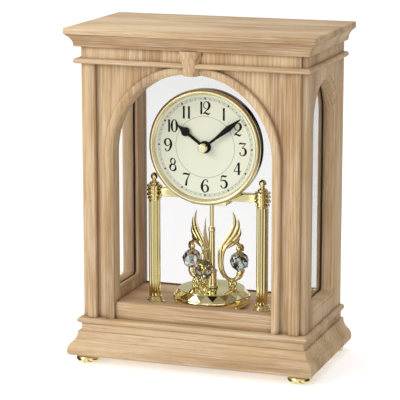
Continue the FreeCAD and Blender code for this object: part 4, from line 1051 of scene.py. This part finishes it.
def gem_into(bm, place):
    """A cut ball: a flat table above and below, and facets between its rows of corners."""
    points = []
    for height_deg, count, shift in GEM_ROWS:
        height = math.radians(height_deg)
        for n in range(count):
            angle = 2 * math.pi * (n + shift) / count
            spot = Vector((GEM_U + GEM_R * math.cos(height) * math.cos(angle),
                           GEM_R * math.cos(height) * math.sin(angle),
                           GEM_Z + GEM_R * math.sin(height)))
            points.append(bm.verts.new(place @ (spot * MM)))
    bmesh.ops.convex_hull(bm, input=points)


def swans_and_crystals():
    crystals = bmesh.new()
    for name, degrees in SWANS.items():
        place = Matrix.Translation((0, AXIS_Y, 0)) @ Matrix.Rotation(math.radians(degrees), 4, "Z")
        bm = bmesh.new()
        swan_into(bm, place)
        add_piece(f"{name}_swan_figure", to_mesh(bm, name, 50.0), GOLD, PENDULUM,
                  [f"{name}_swan"])
        gem_into(crystals, place)
    add_piece("cut_crystals", to_mesh(crystals, "gems", 0.0), CRYSTAL, PENDULUM,
              ["crystals"])


# ---- Stage ----

FLOOR_HALF, FLOOR_GLOW = 9.0, 0.40


def floor():
    """A pale floor, kept out of the metal's and crystal's view and out of bounced light."""
    bm = bmesh.new()
    corners = ((-1, -1), (1, -1), (1, 1), (-1, 1))
    bm.faces.new([bm.verts.new((x * FLOOR_HALF, y * FLOOR_HALF, 0.0)) for x, y in corners])
    mesh = bpy.data.meshes.new("floor")
    bm.to_mesh(mesh)
    bm.free()
    tree = Shader("studio_floor", Base_Color=(0.90, 0.90, 0.90, 1), Emission_Color=(1, 1, 1, 1),
                  Emission_Strength=FLOOR_GLOW)
    tree.drive("Roughness", tree.span(tree.noise(3), 0.65, 0.8))
    obj = placed("studio_floor", mesh)
    mesh.materials.append(tree.material)
    obj.visible_diffuse = obj.visible_glossy = obj.visible_transmission = False


def area_light(name, spot, size, power):
    """A square lamp aimed at the clock, which refractions don't show."""
    data = bpy.data.lights.new(name, "AREA")
    data.shape, data.size, data.size_y = "RECTANGLE", size, size
    data.energy = power
    lamp = placed(name, data)
    lamp.location = Vector(spot)
    lamp.rotation_euler = (LAMP_AIM - lamp.location).to_track_quat("-Z", "Y").to_euler()
    lamp.visible_transmission = False


LAMP_AIM = Vector((0, 0, 0.15))
# Light from the room below and above, and from its left and right.
SKY_LOW, SKY_HIGH = 1.00, 0.66
SKY_LEFT, SKY_RIGHT = 1.22, 0.62
LIGHT_CARD, GREY_CARD, WARM_CARD = (1.0, 1.0, 0.98, 1), (0.58, 0.60, 0.52, 1), (0.54, 0.46, 0.29, 1)
DARK_CARD = (0.03, 0.02, 0.012, 1)
# What reflections and refractions see: each card's edge from 0 to 1, and its tone.
METAL_SEES = ((0.11, DARK_CARD), (0.15, LIGHT_CARD), (0.24, LIGHT_CARD), (0.29, GREY_CARD),
              (0.40, GREY_CARD), (0.44, LIGHT_CARD), (0.55, LIGHT_CARD), (0.58, DARK_CARD),
              (0.66, DARK_CARD), (0.69, WARM_CARD), (0.74, WARM_CARD), (0.78, LIGHT_CARD),
              (0.88, LIGHT_CARD), (0.93, DARK_CARD))
CRYSTAL_SEES = ((0.34, (0.008, 0.012, 0.012, 1)), (0.46, (0.10, 0.22, 0.17, 1)), (0.54, LIGHT_CARD))


def metal_room(tree, across, up):
    """Upright cards from left to right, brighter low down, which polished metal reflects."""
    cards = tree.ramp(tree.span(across, 0.0, 1.0, -1.0), *METAL_SEES)
    height = tree.span(up, 1.3, 0.45, 0.15, 0.65)
    return tree.node("ShaderNodeVectorMath", {0: cards, "Scale": height}, operation="SCALE").outputs[0]


def crystal_room(tree, coords):
    """Narrow dark, green and white cards, which the facets of the crystals break up."""
    bands = tree.node("ShaderNodeTexWave", {"Scale": 3.6, "Phase Offset": 0.4, "Distortion": 1.2,
                                            "Vector": coords},
                      wave_type="BANDS", bands_direction="X", wave_profile="SIN")
    return tree.ramp(bands.outputs["Fac"], *CRYSTAL_SEES)


def studio():
    """A room that the camera sees as plain white. It lights the clock more from the left than
    from the right, and polished metal and crystal see cards in it, which give them contrast."""
    world = bpy.data.worlds.new("studio")
    bpy.context.scene.world = world
    world.use_nodes = True
    tree = Nodes(world.node_tree)
    coords = tree.node("ShaderNodeTexCoord", {}).outputs["Generated"]
    across, _, up = tree.node("ShaderNodeSeparateXYZ", {0: coords}).outputs
    shade = tree.times(tree.span(up, SKY_LOW, SKY_HIGH, -0.2),
                       tree.span(across, SKY_LEFT, SKY_RIGHT, -1.0))
    path = tree.node("ShaderNodeLightPath", {}).outputs
    for ray, seen in (("Is Glossy Ray", metal_room(tree, across, up)),
                      ("Is Transmission Ray", crystal_room(tree, coords)),
                      ("Is Camera Ray", (1.0, 1.0, 1.0, 1.0))):
        shade = tree.mix(path[ray], shade, seen)
    tree.set(world.node_tree.nodes["Background"].inputs["Color"], shade)
    area_light("key", (-1.5, -1.7, 1.2), 1.2, 24)
    area_light("fill", (0.6, -2.0, 0.6), 1.0, 2.5)
    area_light("top", (0.0, 0.3, 2.2), 1.6, 12)


VIEW_TARGET = Vector((-12.9, 5.5, 147.3)) * MM
VIEW_AZIMUTH, VIEW_PITCH, VIEW_DISTANCE, VIEW_LENS = 19.29, 11.83, 1.83, 177.2


def camera():
    data = bpy.data.cameras.new("view")
    data.lens = VIEW_LENS
    cam = placed("view", data)
    turn, pitch = math.radians(VIEW_AZIMUTH), math.radians(VIEW_PITCH)
    back = Vector((math.sin(turn) * math.cos(pitch), -math.cos(turn) * math.cos(pitch), math.sin(pitch)))
    cam.location = VIEW_TARGET + back * VIEW_DISTANCE
    cam.rotation_euler = (-back).to_track_quat("-Z", "Y").to_euler()
    bpy.context.scene.camera = cam
    bpy.context.scene.view_settings.view_transform = "Standard"


camera()
floor()
studio()
wooden_case()
side_panes()
back_door()
columns()
feet()
clock_head()
knurled_knob()
battery()
dial_printing()
disc()
spindle()
swans_and_crystals()
